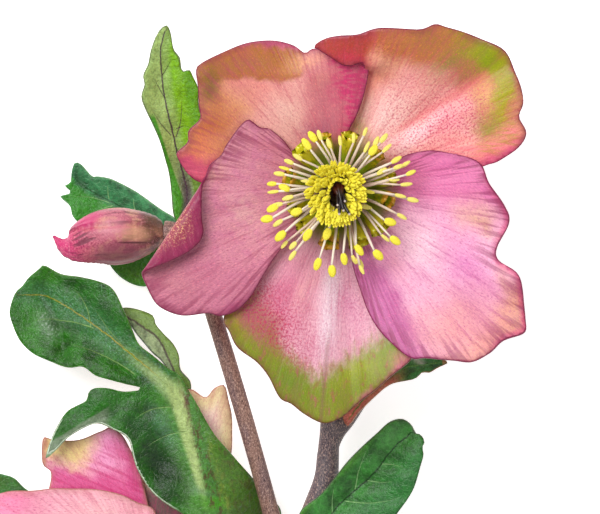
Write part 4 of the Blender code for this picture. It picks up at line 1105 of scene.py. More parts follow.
def make_nectaries(which, bloom, count, seed):
    draw = random.Random(seed)
    heap = Heap()
    ring = [polar(bloom, 5.1, FULL_TURN * k / 32, NECTARY_FOOT) for k in range(33)]
    heap.loft(tube_rings(ring, [0.65] * 33, 8), [(0.1, 0.5)] * 33)
    for k in range(count):
        angle = FULL_TURN * (k + 0.5 + draw.uniform(-0.15, 0.15)) / count
        lot, reach, size = draw.random(), draw.uniform(10.2, 11.8), draw.uniform(0.9, 1.15)
        path = curved([polar(bloom, 4.6, angle, NECTARY_FOOT), polar(bloom, 7.4, angle + 0.04, 4.7),
                       polar(bloom, reach, angle + draw.uniform(-0.08, 0.08), draw.uniform(6.9, 7.6))], 9)
        outside = tube_rings(path, [size * r for r in NECTARY_RADII], 14, 0.72)
        mouth = Vector(path[-1])
        for i, p in enumerate(outside[-1]):  # the rim waves
            outside[-1][i] = p + 0.16 * math.sin(5 * FULL_TURN * i / 14 + 9 * lot) * (p - mouth)
        inner = [[mouth + (Vector(path[-2 - j]) - mouth) + shrink * (p - mouth) for p in outside[-1]]
                 for j, shrink in enumerate(MOUTH_DEPTHS)]
        marks = [(0.12 * i, lot) for i in range(9)] + [(0.8, lot), (0.55, lot), (0.3, lot), (0.1, lot)]
        heap.loft(outside + inner, marks)
    return heap.make(f"bloom_{which}_nectaries_skin", f"bloom_{which}_nectaries", nectary_skin)


make_nectaries(1, BLOOM_1, 12, 3)
make_nectaries(2, BLOOM_2, 9, 5)

# %% [markdown]
# ### Stamens
#
# The open stamens leave a low dome under the styles and fan out all round. They opened over several days, so
# no two are alike: plump yellow anthers, spent thin ones, and tips that wander. A rule would set them like
# spokes, so the middle of each anther in the first bloom is listed one by one, in one list for the plump and one
# for the thin, and its thread bends out to meet it. Round the styles stand the young stamens, whose anthers
# are still packed tight into a knobbly yellow ring. That ring is a rule: rows of pods between two ovals.

# %% One stamen
def anther_rings(centre, along, length, width, sides=12):
    """Rings of an anther with two pods: the section is pinched top and bottom."""
    along = Vector(along).normalized()
    across = along.cross(Vector((0, 0, 1)))
    across = across.normalized() if across.length > 1e-3 else Vector((1, 0, 0))
    up = across.cross(along)
    rings = []
    for t in (0.02, 0.12, 0.3, 0.55, 0.8, 0.93, 1.0):
        size = 0.5 * width * (math.sin(math.pi * min(0.98, 0.06 + 0.9 * t)) ** 0.55)
        middle = Vector(centre) + (t - 0.5) * length * along
        ring = []
        for i in range(sides):
            a = FULL_TURN * i / sides
            pinch = 1 - 0.45 * abs(math.sin(a)) ** 6
            ring.append(middle + size * (math.cos(a) * across + 0.7 * pinch * math.sin(a) * up))
        rings.append(ring)
    return rings


def open_stamen(heap, bloom, px, py, up, length, width, lot, draw):
    """A thread from the dome, out to an anther with its middle at (px, py) from the bloom's axis."""
    angle = math.atan2(py + 0.8, px + 0.6)
    reach = math.hypot(px, py)
    middle = polar(bloom, 0.5 * reach, angle + draw.uniform(-0.1, 0.1), 8.3 + 0.25 * (up - 9.4))
    near = (bloom[0] + px, bloom[1] + py, bloom[2] + up)
    out = Vector((math.cos(angle + draw.uniform(-0.3, 0.3)), math.sin(angle + draw.uniform(-0.3, 0.3)), -0.1))
    end = Vector(near) - 0.42 * length * out.normalized()
    path = curved([polar(bloom, 2.6, angle, 5.0), middle, tuple(end)], 10)
    thick = draw.uniform(0.9, 1.15)
    heap.loft(tube_rings(path, [thick * r for r in THREAD_RADII], 7), [(0.46 * i / 9, lot) for i in range(10)])
    heap.loft(anther_rings(near, out, length, width), [(0.8, lot)] * 7)


THREAD_RADII = (0.36, 0.34, 0.32, 0.3, 0.29, 0.28, 0.27, 0.26, 0.24, 0.2)
PLUMP = [
    (-13.5, -3.7), (-14.6, -5.8), (-11.9, -9.2), (-8.7, -4.4), (-6.5, -9.0), (-2.6, -8.8), (-4.5, -14.8),
    (-1.6, -16.2), (0.8, -13.8), (3.8, -12.0), (7.6, -13.0), (11.0, -10.1), (10.0, -6.4), (-11.1, 0.4),
    (-6.7, 9.1), (-5.5, 10.6), (6.6, 7.9),
]
THIN = [
    (-12.4, -6.6), (-11.1, -10.9), (-9.5, -13.1), (-9.4, -11.1), (-13.3, -0.4), (-13.6, 1.2), (-12.1, 3.2),
    (-11.1, 4.3), (-8.4, 6.5), (-4.1, 10.9), (4.0, -14.6), (4.3, -15.9), (2.8, -13.9), (12.3, -5.3),
    (14.5, -2.0), (13.2, 1.1), (14.1, 3.4), (11.6, 4.6), (13.0, 5.1), (11.2, 6.0), (5.3, 8.5), (9.3, 8.3),
    (8.7, 10.3), (5.0, 11.6), (2.7, 10.3), (0.0, 9.8), (-6.6, 1.7), (5.9, -0.4), (5.1, -3.4), (8.3, 3.7),
    (-10.2, 5.6), (10.8, 2.0), (12.0, -1.2), (-10.4, -1.6), (7.2, 9.6), (-2.2, 9.2), (-12.6, -3.0), (9.0, -9.6),
]


# The two ovals of the young ring, as (middle x, middle y, half width, half height)
POD_HOLE, POD_RIM = (-0.3, -1.3, 1.9, 3.2), (-0.9, -0.7, 5.6, 5.9)
POD_ROWS = 5


def pod_ring(heap, bloom, outer_row, draw):
    """Young anthers between the two ovals. Each row inwards holds three fewer than the one outside it."""
    for row in range(POD_ROWS):
        f = (row + 0.5) / POD_ROWS
        count = outer_row - 3 * (POD_ROWS - 1 - row)
        for k in range(count):
            a = FULL_TURN * (k + 0.5 * (row % 2) + draw.uniform(-0.28, 0.28)) / count
            spread = min(1.0, max(0.0, f + draw.uniform(-0.07, 0.07)))
            inner, outer = ((o[0] + o[2] * math.cos(a), o[1] + o[3] * math.sin(a)) for o in (POD_HOLE, POD_RIM))
            px = inner[0] + spread * (outer[0] - inner[0])
            py = inner[1] + spread * (outer[1] - inner[1])
            up = 12.6 + 1.1 * math.sin(math.pi * (0.14 + 0.72 * f)) + draw.uniform(-0.3, 0.3)
            lean = ((0.2 + 1.2 * f) * math.cos(a), (0.2 + 1.2 * f) * math.sin(a) - 0.45, 1.0)
            lean = (lean[0] + draw.uniform(-0.35, 0.35), lean[1] + draw.uniform(-0.35, 0.35), lean[2])
            tip = Vector((bloom[0] + px, bloom[1] + py, bloom[2] + up))
            lot = draw.random()
            foot = tip - 1.0 * Vector(lean).normalized()
            root = polar(bloom, 3.0, a, 5.6)
            path = curved([root, (0.5 * (root[0] + foot.x), 0.5 * (root[1] + foot.y), bloom[2] + 9.0), tuple(foot)], 4)
            heap.loft(tube_rings(path, [0.24] * 4, 4), [(0.1 + 0.1 * i, lot) for i in range(4)])
            for side in (-1, 1):
                across = Vector(lean).cross(Vector((math.cos(a), math.sin(a), 0.3))).normalized()
                pod = anther_rings(tip + side * 0.3 * across, lean, draw.uniform(2.2, 2.8), 0.82, 8)
                heap.loft(pod, [(0.8, 0.3 * lot)] * 7)


def make_stamens(which, bloom, plump, thin, pods, seed):
    draw = random.Random(seed)
    heap = Heap()
    x, y, z = bloom
    dome = [(x, y, z + up) for up in (-0.2, 2.0, 3.7, 4.6, 5.4, 6.0, 6.1)]  # what the threads stand on
    heap.loft(tube_rings(dome, [1.9, 2.0, 3.8, 3.8, 3.6, 3.0, 0.5], 20), [(0.05, 0.5)] * 7)
    for px, py in plump:
        open_stamen(heap, bloom, px, py, draw.uniform(9.6, 11.0), draw.uniform(2.4, 2.8), draw.uniform(1.5, 1.8),
                    0.4 * draw.random(), draw)
    for px, py in thin:
        open_stamen(heap, bloom, px, py, draw.uniform(8.8, 10.2), draw.uniform(2.0, 2.6), draw.uniform(0.75, 1.1),
                    0.4 + 0.6 * draw.random(), draw)
    pod_ring(heap, bloom, pods, draw)
    return heap.make(f"bloom_{which}_stamens_skin", f"bloom_{which}_stamens", stamen_skin)


def spread_out(count, seed):
    """Places for the anthers of a bloom that isn't seen closely."""
    draw = random.Random(seed)
    places = []
    for k in range(count):
        angle = FULL_TURN * (k + draw.uniform(-0.3, 0.3)) / count
        reach = 13.0 - 1.5 * math.sin(angle) + draw.uniform(-2.4, 1.0)
        places.append((reach * math.cos(angle), reach * math.sin(angle)))
    return places


make_stamens(1, BLOOM_1, PLUMP, THIN, 27, 4)
make_stamens(2, BLOOM_2, spread_out(16, 2), spread_out(20, 3), 24, 9)

# %% [markdown]
# ### Styles
#
# Five dark styles rise through the ring of young anthers, lean down together and end in pale stigmas. Three
# of them reach past the edge of the gap, and the pale flecks at their ends are the stigmas.

# %% Styles
STYLE_TIPS = ((-0.2, -5.0), (0.7, -4.3), (1.9, -5.0), (-0.5, -3.2), (1.0, -2.4))
STYLE_RADII = [0.62, 0.62, 0.6, 0.58, 0.56, 0.54, 0.5, 0.46, 0.42, 0.38, 0.34, 0.31, 0.34, 0.2]


def make_styles(which, bloom):
    x, y, z = bloom
    heap = Heap()
    foot = [(x - 0.2, y - 0.5, z + up) for up in (6.35, 7.2, 8.2, 8.8)]
    heap.loft(tube_rings(foot, [1.4, 1.35, 1.2, 0.8], 12), [(0.05, 0.5)] * 4)
    for k, (tx, ty) in enumerate(STYLE_TIPS):
        angle = FULL_TURN * (k + 0.5) / 5
        cx, cy = 0.7 * math.cos(angle), 0.7 * math.sin(angle)
        path = curved([(x - 0.2 + cx, y - 0.6 + cy, z + 7.6), (x - 0.25 + 1.1 * cx, y + 0.2 + cy, z + 12.3),
                       (x + tx, y + ty, z + 15.5 - 0.2 * k)], 14)
        heap.loft(tube_rings(path, STYLE_RADII, 8), [(i / 13, 0.5) for i in range(14)])
    return heap.make(f"bloom_{which}_styles", f"bloom_{which}_pistils", style_skin)


make_styles(1, BLOOM_1)
make_styles(2, BLOOM_2)

# %% [markdown]
# ## Stem
#
# The main stem forks into two flower stalks, with side stalks to a bud and to the second bloom. On the real
# plant they grew as one, with a soft web in each fork. Separate tubes would meet in hard creases, so the tubes
# are melted together with a voxel remesh, and a few rounds of smoothing then draw the web.

# %% Stem
MAIN_STEM = [
    (-7.6, -150.0, 3.75, 3.75), (-9.6, -128.0, 3.75, 3.7), (-10.8, -108.0, 3.8, 3.75), (-10.6, -92.0, 4.0, 3.95),
    (-10.0, -82.0, 4.5, 4.3), (-9.4, -76.0, 4.9, 3.3),
]
LEFT_STALK = [
    (-10.0, -84.0, 4.2, 2.6), (-11.3, -75.0, 7.4, 2.1), (-13.8, -65.0, 11.2, 1.78), (-16.2, -56.0, 13.4, 1.72),
    (-20.3, -41.6, 14.8, 1.72), (-25.4, -24.8, 15.2, 1.68), (-29.4, -12.6, 14.6, 1.6), (-32.2, -8.8, 13.9, 1.9),
    (-35.4, -8.2, 13.5, 2.3),
]
RIGHT_STALK = [
    (-10.0, -84.0, 4.4, 3.4), (-8.0, -72.0, 5.6, 2.7), (-5.3, -64.8, 6.4, 2.5), (-2.9, -58.4, 7.0, 2.45),
    (-2.4, -54.0, 7.4, 2.3), (-2.0, -46.8, 8.2, 1.95), (-1.4, -30.0, 10.0, 1.8), (-0.5, -13.0, 12.0, 1.8),
    (-0.1, -5.4, 13.8, 1.8), (0.0, -1.6, 16.2, 1.9),
]
BUD_2_STALK = [
    (-2.2, -52.0, 7.4, 1.8), (-0.4, -48.6, 7.8, 1.6), (2.4, -45.0, 8.2, 1.5), (9.0, -34.0, 8.0, 1.2),
    (14.0, -18.0, 7.2, 1.1), (16.6, -4.0, 6.2, 1.2), (17.5, 5.0, 5.5, 1.5), (18.4, 7.6, 5.3, 1.7),
]
BLOOM_2_STALK = [(-10.0, -86.0, 4.2, 2.4), (-18.0, -84.0, 3.2, 1.7), (-28.0, -81.0, 2.6, 1.6), (-38.0, -79.0, 2.6, 1.6)]
STEM_VOXEL = 0.36


def receptacle(bloom, radius, depth):
    """The widened top of a stalk, under the lowest sepal."""
    x, y, z = bloom
    top = z - 0.75
    return [(x, y, top - depth - 1.5, radius), (x, y, top - depth, radius), (x, y, top - 1.2, 3.5), (x, y, top, 3.8)]


def stem_skin():
    paint = Paint("stem_bark", 0.42, Specular_IOR_Level=0.4, Coat_Weight=0.1, Coat_Roughness=0.4)
    x, y, z = paint.place()
    cloud = paint.noise(0.5 * x, 0.16 * y, 0.5 * z, 3.0)
    specks = paint.noise(4.2 * x, 2.0 * y, 4.2 * z, 3.0, 0.8)
    pits = paint.noise(5.0 * x, 3.0 * y, 5.0 * z + 7, 2.0, 0.6)
    slim = (x + 0.28 * y + 24.0).step(2.0, -4.0)  # the left stalk is redder than the main stem
    paint.feed("Base Color", paint.layered(tint(98, 88, 94), [
        ((140, 104, 92), slim),
        ((96, 74, 84), 0.6 * cloud.step(0.4, 0.7)),
        ((200, 168, 152), 0.85 * specks.step(0.52, 0.64)),
        ((44, 26, 30), 0.9 * specks.step(0.46, 0.36)),
        ((58, 26, 34), 0.6 * pits.step(0.58, 0.7)),
    ]))
    paint.feed("Roughness", 0.36 + 0.25 * specks)
    paint.feed("Normal", paint.bump(specks + 0.5 * pits, 0.35, 0.2))
    return paint.material


def make_stem():
    heap = Heap()
    for stalk in (MAIN_STEM, LEFT_STALK, RIGHT_STALK, BUD_2_STALK, BLOOM_2_STALK, receptacle(BLOOM_1, 1.8, 4.6),
                  receptacle(BLOOM_2, 2.2, 4.2)):
        path = curve_through(stalk, False, 0.8)
        heap.loft(tube_rings([p[:3] for p in path], [p[3] for p in path], 24), [(0.0, 0.0)] * len(path))
    obj = heap.make("stem_bark", "stem", stem_skin())
    melt = obj.modifiers.new("melt", "REMESH")
    melt.mode, melt.voxel_size, melt.use_smooth_shade = "VOXEL", STEM_VOXEL * MM, True
    even = obj.modifiers.new("even", "SMOOTH")
    even.factor, even.iterations = 0.5, 8
    return obj


make_stem()

# %% [markdown]
# ## Buds
#
# A closed bud is three sepals wrapped round one another and drawn out to a curled tip. A ball is stretched
# along a curved axis, and its radius is given three small steps round it, turned a little along the bud. They
# are the edges of the sepals. The paint shades from brown green at the base to magenta at the tip.

# %% Buds
BUD_1_AXIS = [(-35.4, -8.1, 13.6), (-42.0, -8.8, 13.6), (-48.0, -9.4, 13.7), (-54.6, -11.2, 13.4), (-57.8, -9.0, 13.4)]
BUD_2_AXIS = [(18.4, 8.4, 5.3), (22.4, 15.0, 5.3), (27.4, 22.4, 5.3), (31.8, 29.0, 5.6)]
WRAP_TURN = 0.6  # where the first sepal's edge lies round the bud, in radians


def bud_skin(name, root, places=()):
    """places holds soft ovals of colour, as (colour, strength, middle x, middle y, size, flatness)."""
    paint = Paint(name, 0.4, Specular_IOR_Level=0.4, Sheen_Weight=0.1)
    along, around = paint.map("organ", 1)
    x, y, z = paint.place()
    cloud = paint.noise(0.35 * x, 0.35 * y, 0.35 * z, 3.0)
    fine = paint.noise(2.6 * x, 2.6 * y, 2.6 * z, 3.0, 0.7)
    lines = paint.noise(5.0 * along, 26.0 * around, 3.0, 2.0)

    def oval(cx, cy, size, flat):
        off = ((x - cx) * (x - cx) + flat * (y - cy) * (y - cy)) ** 0.5 + 1.2 * (cloud - 0.5)
        return (off + 2.0 * (fine - 0.5)).step(size, 0.3 * size)

    paint.feed("Base Color", paint.layered(tint(*root), [
        ((180, 88, 108), (along + 0.3 * (cloud - 0.5)).step(0.05, 0.34)),
        ((206, 160, 124), 0.7 * cloud.step(0.46, 0.66)),
        ((196, 34, 104), (along + 0.35 * (cloud - 0.5)).step(0.5, 0.9)),
        ((228, 152, 160), 0.4 * fine.step(0.5, 0.66)),
        ((120, 34, 60), 0.7 * fine.step(0.46, 0.34)),
        ((84, 24, 46), 0.7 * lines.step(0.54, 0.68)),
        *((shade, much * oval(*where)) for shade, much, *where in places),
    ]))
    paint.feed("Normal", paint.bump(fine - 0.6 * lines, 0.4, 0.2))
    return paint.material


def make_bud(which, path, radius, root, places=()):
    axis = curve_through(path, False, 0.25)
    sides, count = ((96, 70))
    rings, values = [], []
    for k in range(count):
        t = (k + 0.5) / count  # how far along the bud
        here = min(int(t * (len(axis) - 1)), len(axis) - 2)
        centre = Vector(axis[here])
        forward = (Vector(axis[here + 1]) - centre).normalized()
        across = forward.cross(Vector((0, 0, 1))).normalized()
        lift = across.cross(forward)
        swell = math.sin(math.pi * t**0.8) ** 0.75 if t > 0.3 else (t / 0.3) ** 0.33 * 0.95
        swell *= 1 - 0.5 * smooth(0.8, 0.95, t)
        ring = []
        for i in range(sides):
            angle = FULL_TURN * i / sides
            wrap = (3 * (angle + WRAP_TURN) / FULL_TURN + 0.5 * t + 0.06 * math.sin(9 * t)) % 1.0
            step = 0.07 * (wrap - 0.5) + 0.05 * smooth(0.9, 1.0, wrap) - 0.05 * smooth(0.1, 0.0, wrap)
            ridge = 0.008 * math.sin(14 * angle + 3 * t)
            size = radius * swell * (1 + (step + ridge) * smooth(0.0, 0.15, t))
            ring.append(centre + size * (math.cos(angle) * across + math.sin(angle) * lift))
        rings.append(ring)
        values += [(t, i / sides) for i in range(sides)]
    heap = Heap()
    heap.loft(rings, [(0.0, 0.0)] * count)
    heap.values = values  # along the bud and round it
    return heap.make(f"bud_{which}_skin", f"bud_{which}", bud_skin(f"bud_{which}_paint", root, places))


BUD_1_PLACES = [
    # the second oval here, pale pink at (-45.4, -7.4), is a painted highlight
    ((190, 20, 100), 0.8, -51.0, -5.6, 4.6, 2.0), ((224, 148, 160), 0.45, -45.4, -7.4, 4.4, 3.0),
    ((214, 172, 128), 0.5, -40.8, -8.8, 4.4, 3.0), ((132, 66, 82), 0.75, -44.0, -12.8, 8.0, 5.0),
    ((86, 60, 40), 0.7, -36.8, -6.6, 3.4, 1.0), ((66, 20, 36), 0.8, -41.6, -10.5, 4.8, 260.0),
]
make_bud(1, BUD_1_AXIS, 5.5, (92, 62, 54), BUD_1_PLACES)
make_bud(2, BUD_2_AXIS, 5.2, (110, 96, 54))

# %% [markdown]
# ## Leaf paint
#
# The leaves are leathery and glossy. Their colour has a broad part, from bright green to blue green, and a
# fine part of veins. The rib is the line where the sheet's own map changes side, so it stays thin and exact.
# Each side vein is a shallow arc between two points: how far a point is along it and how far off it give the
# mask. A net of very small veins fills the rest, as a faint relief and a slight change of green.

# %% Leaf paint
def arc(x0, y0, x1, y1, bow):
    """Points along a shallow arc. bow is how far its middle lies to the left of the straight line."""
    run, rise = x1 - x0, y1 - y0
    off = [(k / 12, 4 * bow * (k / 12) * (1 - k / 12) / math.hypot(run, rise)) for k in range(13)]
    return np.array([(x0 + u * run - v * rise, y0 + u * rise + v * run) for u, v in off])


def leaf_paint(name, ground, patches, veins, vein_tint, rib_tint, rib_width, margin, rough=0.42, rib_from=0.0,
               gloss=0.22, cloudy=0.4):
    """veins is a list of (x0, y0, x1, y1, bow, width), in millimetres on the leaf. cloudy is how light the
    ground's darker clouds are, and rib_from how far along the leaf its rib starts to show."""
    paint = Paint(name, rough, Specular_IOR_Level=0.32, Coat_Weight=0.2 * gloss, Coat_Roughness=0.3)
    x, y = paint.map("flat")
    along, aside = paint.map("rib")
    edge, _ = paint.map("edge")
    drift = paint.noise(0.2 * x, 0.2 * y, 3.0, 3.0, 0.6) - 0.5
    spot = paint.spots(x + 4.0 * drift, y - 4.0 * drift)
    cloud = paint.noise(0.35 * x, 0.35 * y, 1.0, 3.0)
    grain = paint.noise(3.0 * x, 3.0 * y, 5.0, 3.0, 0.7)
    quilt = paint.noise(1.2 * x, 1.2 * y, 12.0, 2.0, 0.55)
    colour = paint.mix(cloud.step(0.36, 0.68), ground, tuple(cloudy * c for c in ground))
    colour = paint.layered(colour, patches(paint, x, y, along, aside, spot))
    net = paint.cells(1.1 * x + 2.0 * drift, 1.1 * y)
    small = net.step(0.14, 0.0)
    vein_mask = 0.0
    for x0, y0, x1, y1, bow, width in veins:
        length = math.hypot(x1 - x0, y1 - y0)
        c, s = (x1 - x0) / length, (y1 - y0) / length
        u = ((x - x0) * c + (y - y0) * s) / length
        v = (y - y0) * c - (x - x0) * s - 4 * bow * u * (1 - u) + 0.5 * drift
        reach = u.step(-0.03, 0.04) * u.step(1.04, 0.7)
        vein_mask = vein_mask + (abs(v) + 0.5 * width * u).step(0.9 * width, 0.15 * width) * reach
    colour = paint.mix(0.07 * small, colour, vein_tint)
    if veins:
        colour = paint.mix(0.8 * vein_mask, colour, vein_tint)
    taper = rib_width * (1.15 - 0.014 * along)
    rib = (abs(aside) - 0.5 * taper).step(0.22, -0.1) * along.step(rib_from - 5.0, rib_from + 3.0)
    colour = paint.mix(rib, colour, rib_tint)
    colour = paint.mix(0.7 * (edge + 0.3 * grain).step(0.4, 0.16), colour, margin)
    light = 0.02 + 0.8 * grain + 1.0 * quilt
    colour = paint.mix(1.0, colour, paint.join(light, light, light), "MULTIPLY")
    paint.feed("Base Color", colour)
    paint.feed("Roughness", rough - 0.18 + 0.22 * grain)
    relief = 1.6 * quilt + 0.5 * grain - 0.25 * small - 0.8 * vein_mask + 0.6 * abs(aside).step(1.2, 0.0)
    paint.feed("Normal", paint.bump(relief, 0.6, 0.3))
    return paint.material


def plain_green(paint, x, y, along, aside, spot):
    return [((70, 130, 40), 0.5 * paint.noise(0.18 * x, 0.18 * y, 8.0).step(0.45, 0.7))]


print("leaf paint: ribs, arcs and a net")

# %% [markdown]
# ## Leaves
#
# Each leaf has a valley along its rib and rises in soft pillows between its veins. The big one at the lower
# left climbs from the fork over the second bloom, then its broad lobe bends down again past a fold.

# %% Leaf shapes
def nearest(line, x, y):
    return float(np.hypot(line[:, 0] - x, line[:, 1] - y).min())


def pillows(x, y, seed, size=0.2):
    return size * math.sin(0.62 * x + 0.35 * y + seed) * math.sin(0.66 * y - 0.3 * x + 2 * seed)


def make_leaf(name, node, outline, rib, height, paint, depth=1.3, width=4.0, seed=1, soft=0.16, veins=(), crisp=0.2):
    line = curve_through(rib, False, 0.5)
    arcs = [arc(*vein[:5]) for vein in veins]

    def place(x, y):
        valley = depth * (1 - bump(nearest(line, x, y), width))
        dips = sum(bump(nearest(points, x, y), 1.1) for points in arcs)
        crease = crisp * bump(nearest(line, x, y), 0.9)
        return x, y, height(x, y) + valley - crease - 0.4 * min(1.0, dips) + pillows(x, y, seed, soft)

    return make_blade(name, node, outline, place, rib, paint, seed, 0.5, 0.1)


LARGE_LEAF = [
    (-13.4, -72.4), (-12.0, -67.6), (-12.2, -63.8), (-15.2, -60.8), (-18.8, -56.4), (-22.2, -52.4), (-25.2, -49.0),
    (-28.0, -44.2), (-30.2, -40.4), (-32.4, -37.0), (-34.2, -36.0), (-37.0, -33.6), (-40.2, -31.0),
    (-41.6, -28.2), (-43.4, -24.2), (-45.6, -20.0), (-48.0, -18.4), (-52.0, -17.4), (-56.2, -16.8),
    (-59.4, -15.2), (-60.6, -16.0), (-62.6, -17.6), (-63.8, -19.2), (-65.4, -20.8), (-66.4, -24.2),
    (-65.8, -26.8), (-64.4, -30.0), (-61.6, -32.8), (-57.6, -34.6), (-54.4, -35.6), (-51.6, -35.4),
    (-49.0, -37.2), (-46.6, -38.0), (-43.0, -38.9), (-39.6, -39.8), (-43.0, -40.5), (-46.6, -39.7),
    (-49.4, -39.8), (-50.6, -41.0), (-50.9, -42.2), (-54.4, -44.2), (-56.6, -47.2), (-58.0, -50.4),
    (-59.0, -53.8), (-57.0, -52.2), (-54.4, -49.6), (-50.8, -47.4), (-48.4, -46.8), (-46.2, -47.6),
    (-43.4, -49.0), (-42.2, -50.4), (-41.6, -52.8), (-40.6, -56.0), (-38.4, -59.6), (-35.8, -62.2),
    (-32.6, -64.2), (-28.4, -66.4), (-22.0, -69.0), (-15.6, -75.6), (-13.8, -75.2),
]
LARGE_RIB = [(-14.6, -72.0), (-21.0, -64.0), (-26.0, -58.0), (-29.4, -51.0), (-32.0, -43.8), (-36.0, -38.0),
             (-43.0, -32.0), (-50.0, -26.6), (-58.0, -21.6), (-63.0, -21.0)]
SMALL_LOBE = [
    (-30.4, -41.6), (-30.0, -38.6), (-32.0, -36.0), (-32.4, -33.0), (-33.6, -30.6), (-35.4, -28.8), (-37.0, -27.0),
    (-37.6, -25.2), (-40.4, -24.0), (-43.4, -23.6), (-44.6, -24.6), (-42.6, -26.2), (-40.4, -29.4),
    (-37.8, -32.4), (-35.6, -34.4), (-33.6, -38.2), (-33.0, -41.0),
]


CREASE = curve_through([(-60.6, -20.0), (-58.0, -24.6), (-56.3, -27.8), (-55.4, -33.4)], False)
LOW_RIDGE = curve_through([(-36.5, -38.5), (-31.8, -45.6), (-29.0, -52.5), (-27.4, -59.4), (-24.0, -66.0)], False)


def large_height(x, y):
    dx, dy = x + 12.0, y + 75.0
    away = math.hypot(dx, dy)
    side = 0.769 * dx + 0.641 * dy
    climb = 5.6 + 9.8 * smooth(4.0, 18.0, away)
    sheath = 1.05 * max(0.0, side) * (1 - smooth(14.0, 28.0, away))
    lobe = -0.87 * (x + 39.0) + 0.5 * (y + 38.0)
    dips = 0.9 * bump(nearest(CREASE, x, y), 1.3) + 1.8 * bump(math.hypot(x + 36.0, y + 54.5), 4.2)
    dips += 0.7 * bump(0.6 * (x + 46.0) - 0.8 * (y + 44.6), 1.6) * smooth(-58.0, -50.0, x) * smooth(-38.0, -43.0, x)
    ridge = 1.0 * bump(nearest(LOW_RIDGE, x, y), 2.2)
    return climb - sheath - 7.0 * smooth(0.0, 30.0, lobe) - dips + ridge


def large_patches(paint, x, y, along, aside, spot):
    blotch = paint.noise(0.9 * x, 0.5 * y, 2.0, 3.0, 0.7).step(0.47, 0.62)
    neck = (y - 0.3 * x + 20.0).step(-4.0, -12.0)
    band = x + 0.26 * y + 43.4  # 0 along the pale band of the neck
    low = y.step(-36.0, -42.0)
    inner = along.step(53.0, 40.0)
    glint = paint.noise(2.4 * x, 2.4 * y, 9.0, 2.0, 0.6).step(0.5, 0.64)
    edge, _ = paint.map("edge")
    under = (y - 0.62 * x + 16.8).step(2.5, 1.9) * x.step(-45.5, -48.0)
    return [
        ((46, 122, 10), 0.9 * spot(-62.0, -28.0, 2.0, 5.0, 1.8, 60)),
        ((22, 84, 30), 0.8 * spot(-50.0, -25.5, 2.5, 5.0, 1.8, -35)),
        ((60, 136, 16), 0.7 * spot(-58.5, -17.0, 0.8, 2.6, 1.4, 20)),
        # painted shade: a dark line along the fold's crease
        ((6, 40, 8), 0.9 * spot(-58.8, -23.0, 0.7, 0.9, 5.0, -62)),
        # painted highlights: a pale grey glare left of the fold, then glints along the rib and on the upper lobe
        ((168, 186, 168), 0.5 * (0.4 + glint) * spot(-58.9, -26.6, 1.4, 1.6, 2.0, -64)),
        ((110, 164, 140), 0.4 * glint * abs(aside).step(3.6, 1.0) * along.step(78.0, 66.0)),
        ((120, 170, 130), 0.6 * glint * spot(-46.0, -20.6, 1.2, 2.4, 2.2, -20)),
        # painted highlight: a pale band beside the upper rib
        ((80, 138, 84), 0.3 * abs(aside).step(4.5, 1.0) * y.step(-38.0, -30.0)),
        ((84, 140, 56), 0.75 * low * abs(band).step(6.5, 1.6)),
        ((150, 176, 110), 0.85 * inner * abs(aside).step(2.2, 0.6) * y.step(-46.0, -40.0)),
        ((176, 196, 122), 0.85 * low * (abs(band) - 0.05 * (y + 56)).step(1.5, 0.2) * y.step(-66, -56)),
        # painted shade: the deep hollow is darkened almost to black green
        ((6, 40, 12), 0.95 * spot(-35.8, -55.4, 3.2, 3.0, 1.9, -56)),
        # painted highlight: a bluish grey sheen beside the neck
        ((120, 160, 140), 0.45 * (0.5 + glint) * spot(-35.2, -47.6, 1.4, 1.6, 2.8, -60)),
        # painted highlight: a grey green sheen on the curled lower edge
        ((104, 134, 104), 0.6 * spot(-27.6, -60.8, 0.3, 1.2, 3.4, -12)),
        ((70, 150, 14), 0.9 * spot(-25.2, -62.8, 0.9, 1.2, 3.0, -14)),
        ((146, 164, 66), 0.6 * (0.5 + blotch) * band.step(2.6, 4.4) * y.step(-46.0, -54.0)),
        ((20, 72, 24), 0.85 * spot(-40.5, -46.6, 1.2, 2.8, 2.2, -30)),
        ((34, 104, 20), 0.8 * spot(-50.0, -43.2, 2.2, 3.4, 2.0, 30)),
        ((70, 118, 30), 0.7 * low * band.step(2.6, 6.0)),
        ((84, 52, 34), 0.8 * blotch * neck * abs(band - 2.0).step(1.9, 0.6)),
        ((66, 62, 30), 0.6 * blotch * neck * band.step(3.6, 6.6) * y.step(-44.0, -50.0)),
        ((92, 30, 34), 0.85 * spot(-30.8, -42.8, 0.3, 0.5, 6.0, -72)),
        ((118, 134, 108), 0.85 * under),
        ((226, 236, 216), 0.9 * edge.step(0.36, 0.2) * y.step(-45.6, -46.8) * x.step(-31, -35)),
    ]


LARGE_VEINS = [
    (-50.0, -27.4, -54.0, -19.2, -1.0, 0.3), (-40.4, -34.4, -49.6, -22.8, 0.6, 0.3),
    (-49.4, -27.8, -63.0, -26.4, -0.9, 0.3), (-41.2, -37.0, -55.2, -30.6, -0.8, 0.32),
    (-33.4, -43.4, -41.6, -46.2, -0.8, 0.34), (-31.0, -48.4, -39.4, -52.0, -0.8, 0.26),
]
make_leaf("leaf_large_skin", "leaf_large", LARGE_LEAF, LARGE_RIB, large_height,
          leaf_paint("large_leaf", tint(34, 104, 4), large_patches, LARGE_VEINS, tint(128, 164, 92),
                     tint(150, 140, 30), 0.4, tint(80, 136, 46), 0.4, 44.0), 1.5, 4.5, 31, 0.3, LARGE_VEINS)


def lobe_patches(paint, x, y, along, aside, spot):
    return [((112, 142, 66), aside.step(0.6, -0.6)), ((74, 60, 50), 0.8 * abs(aside).step(0.4, 0.1))]


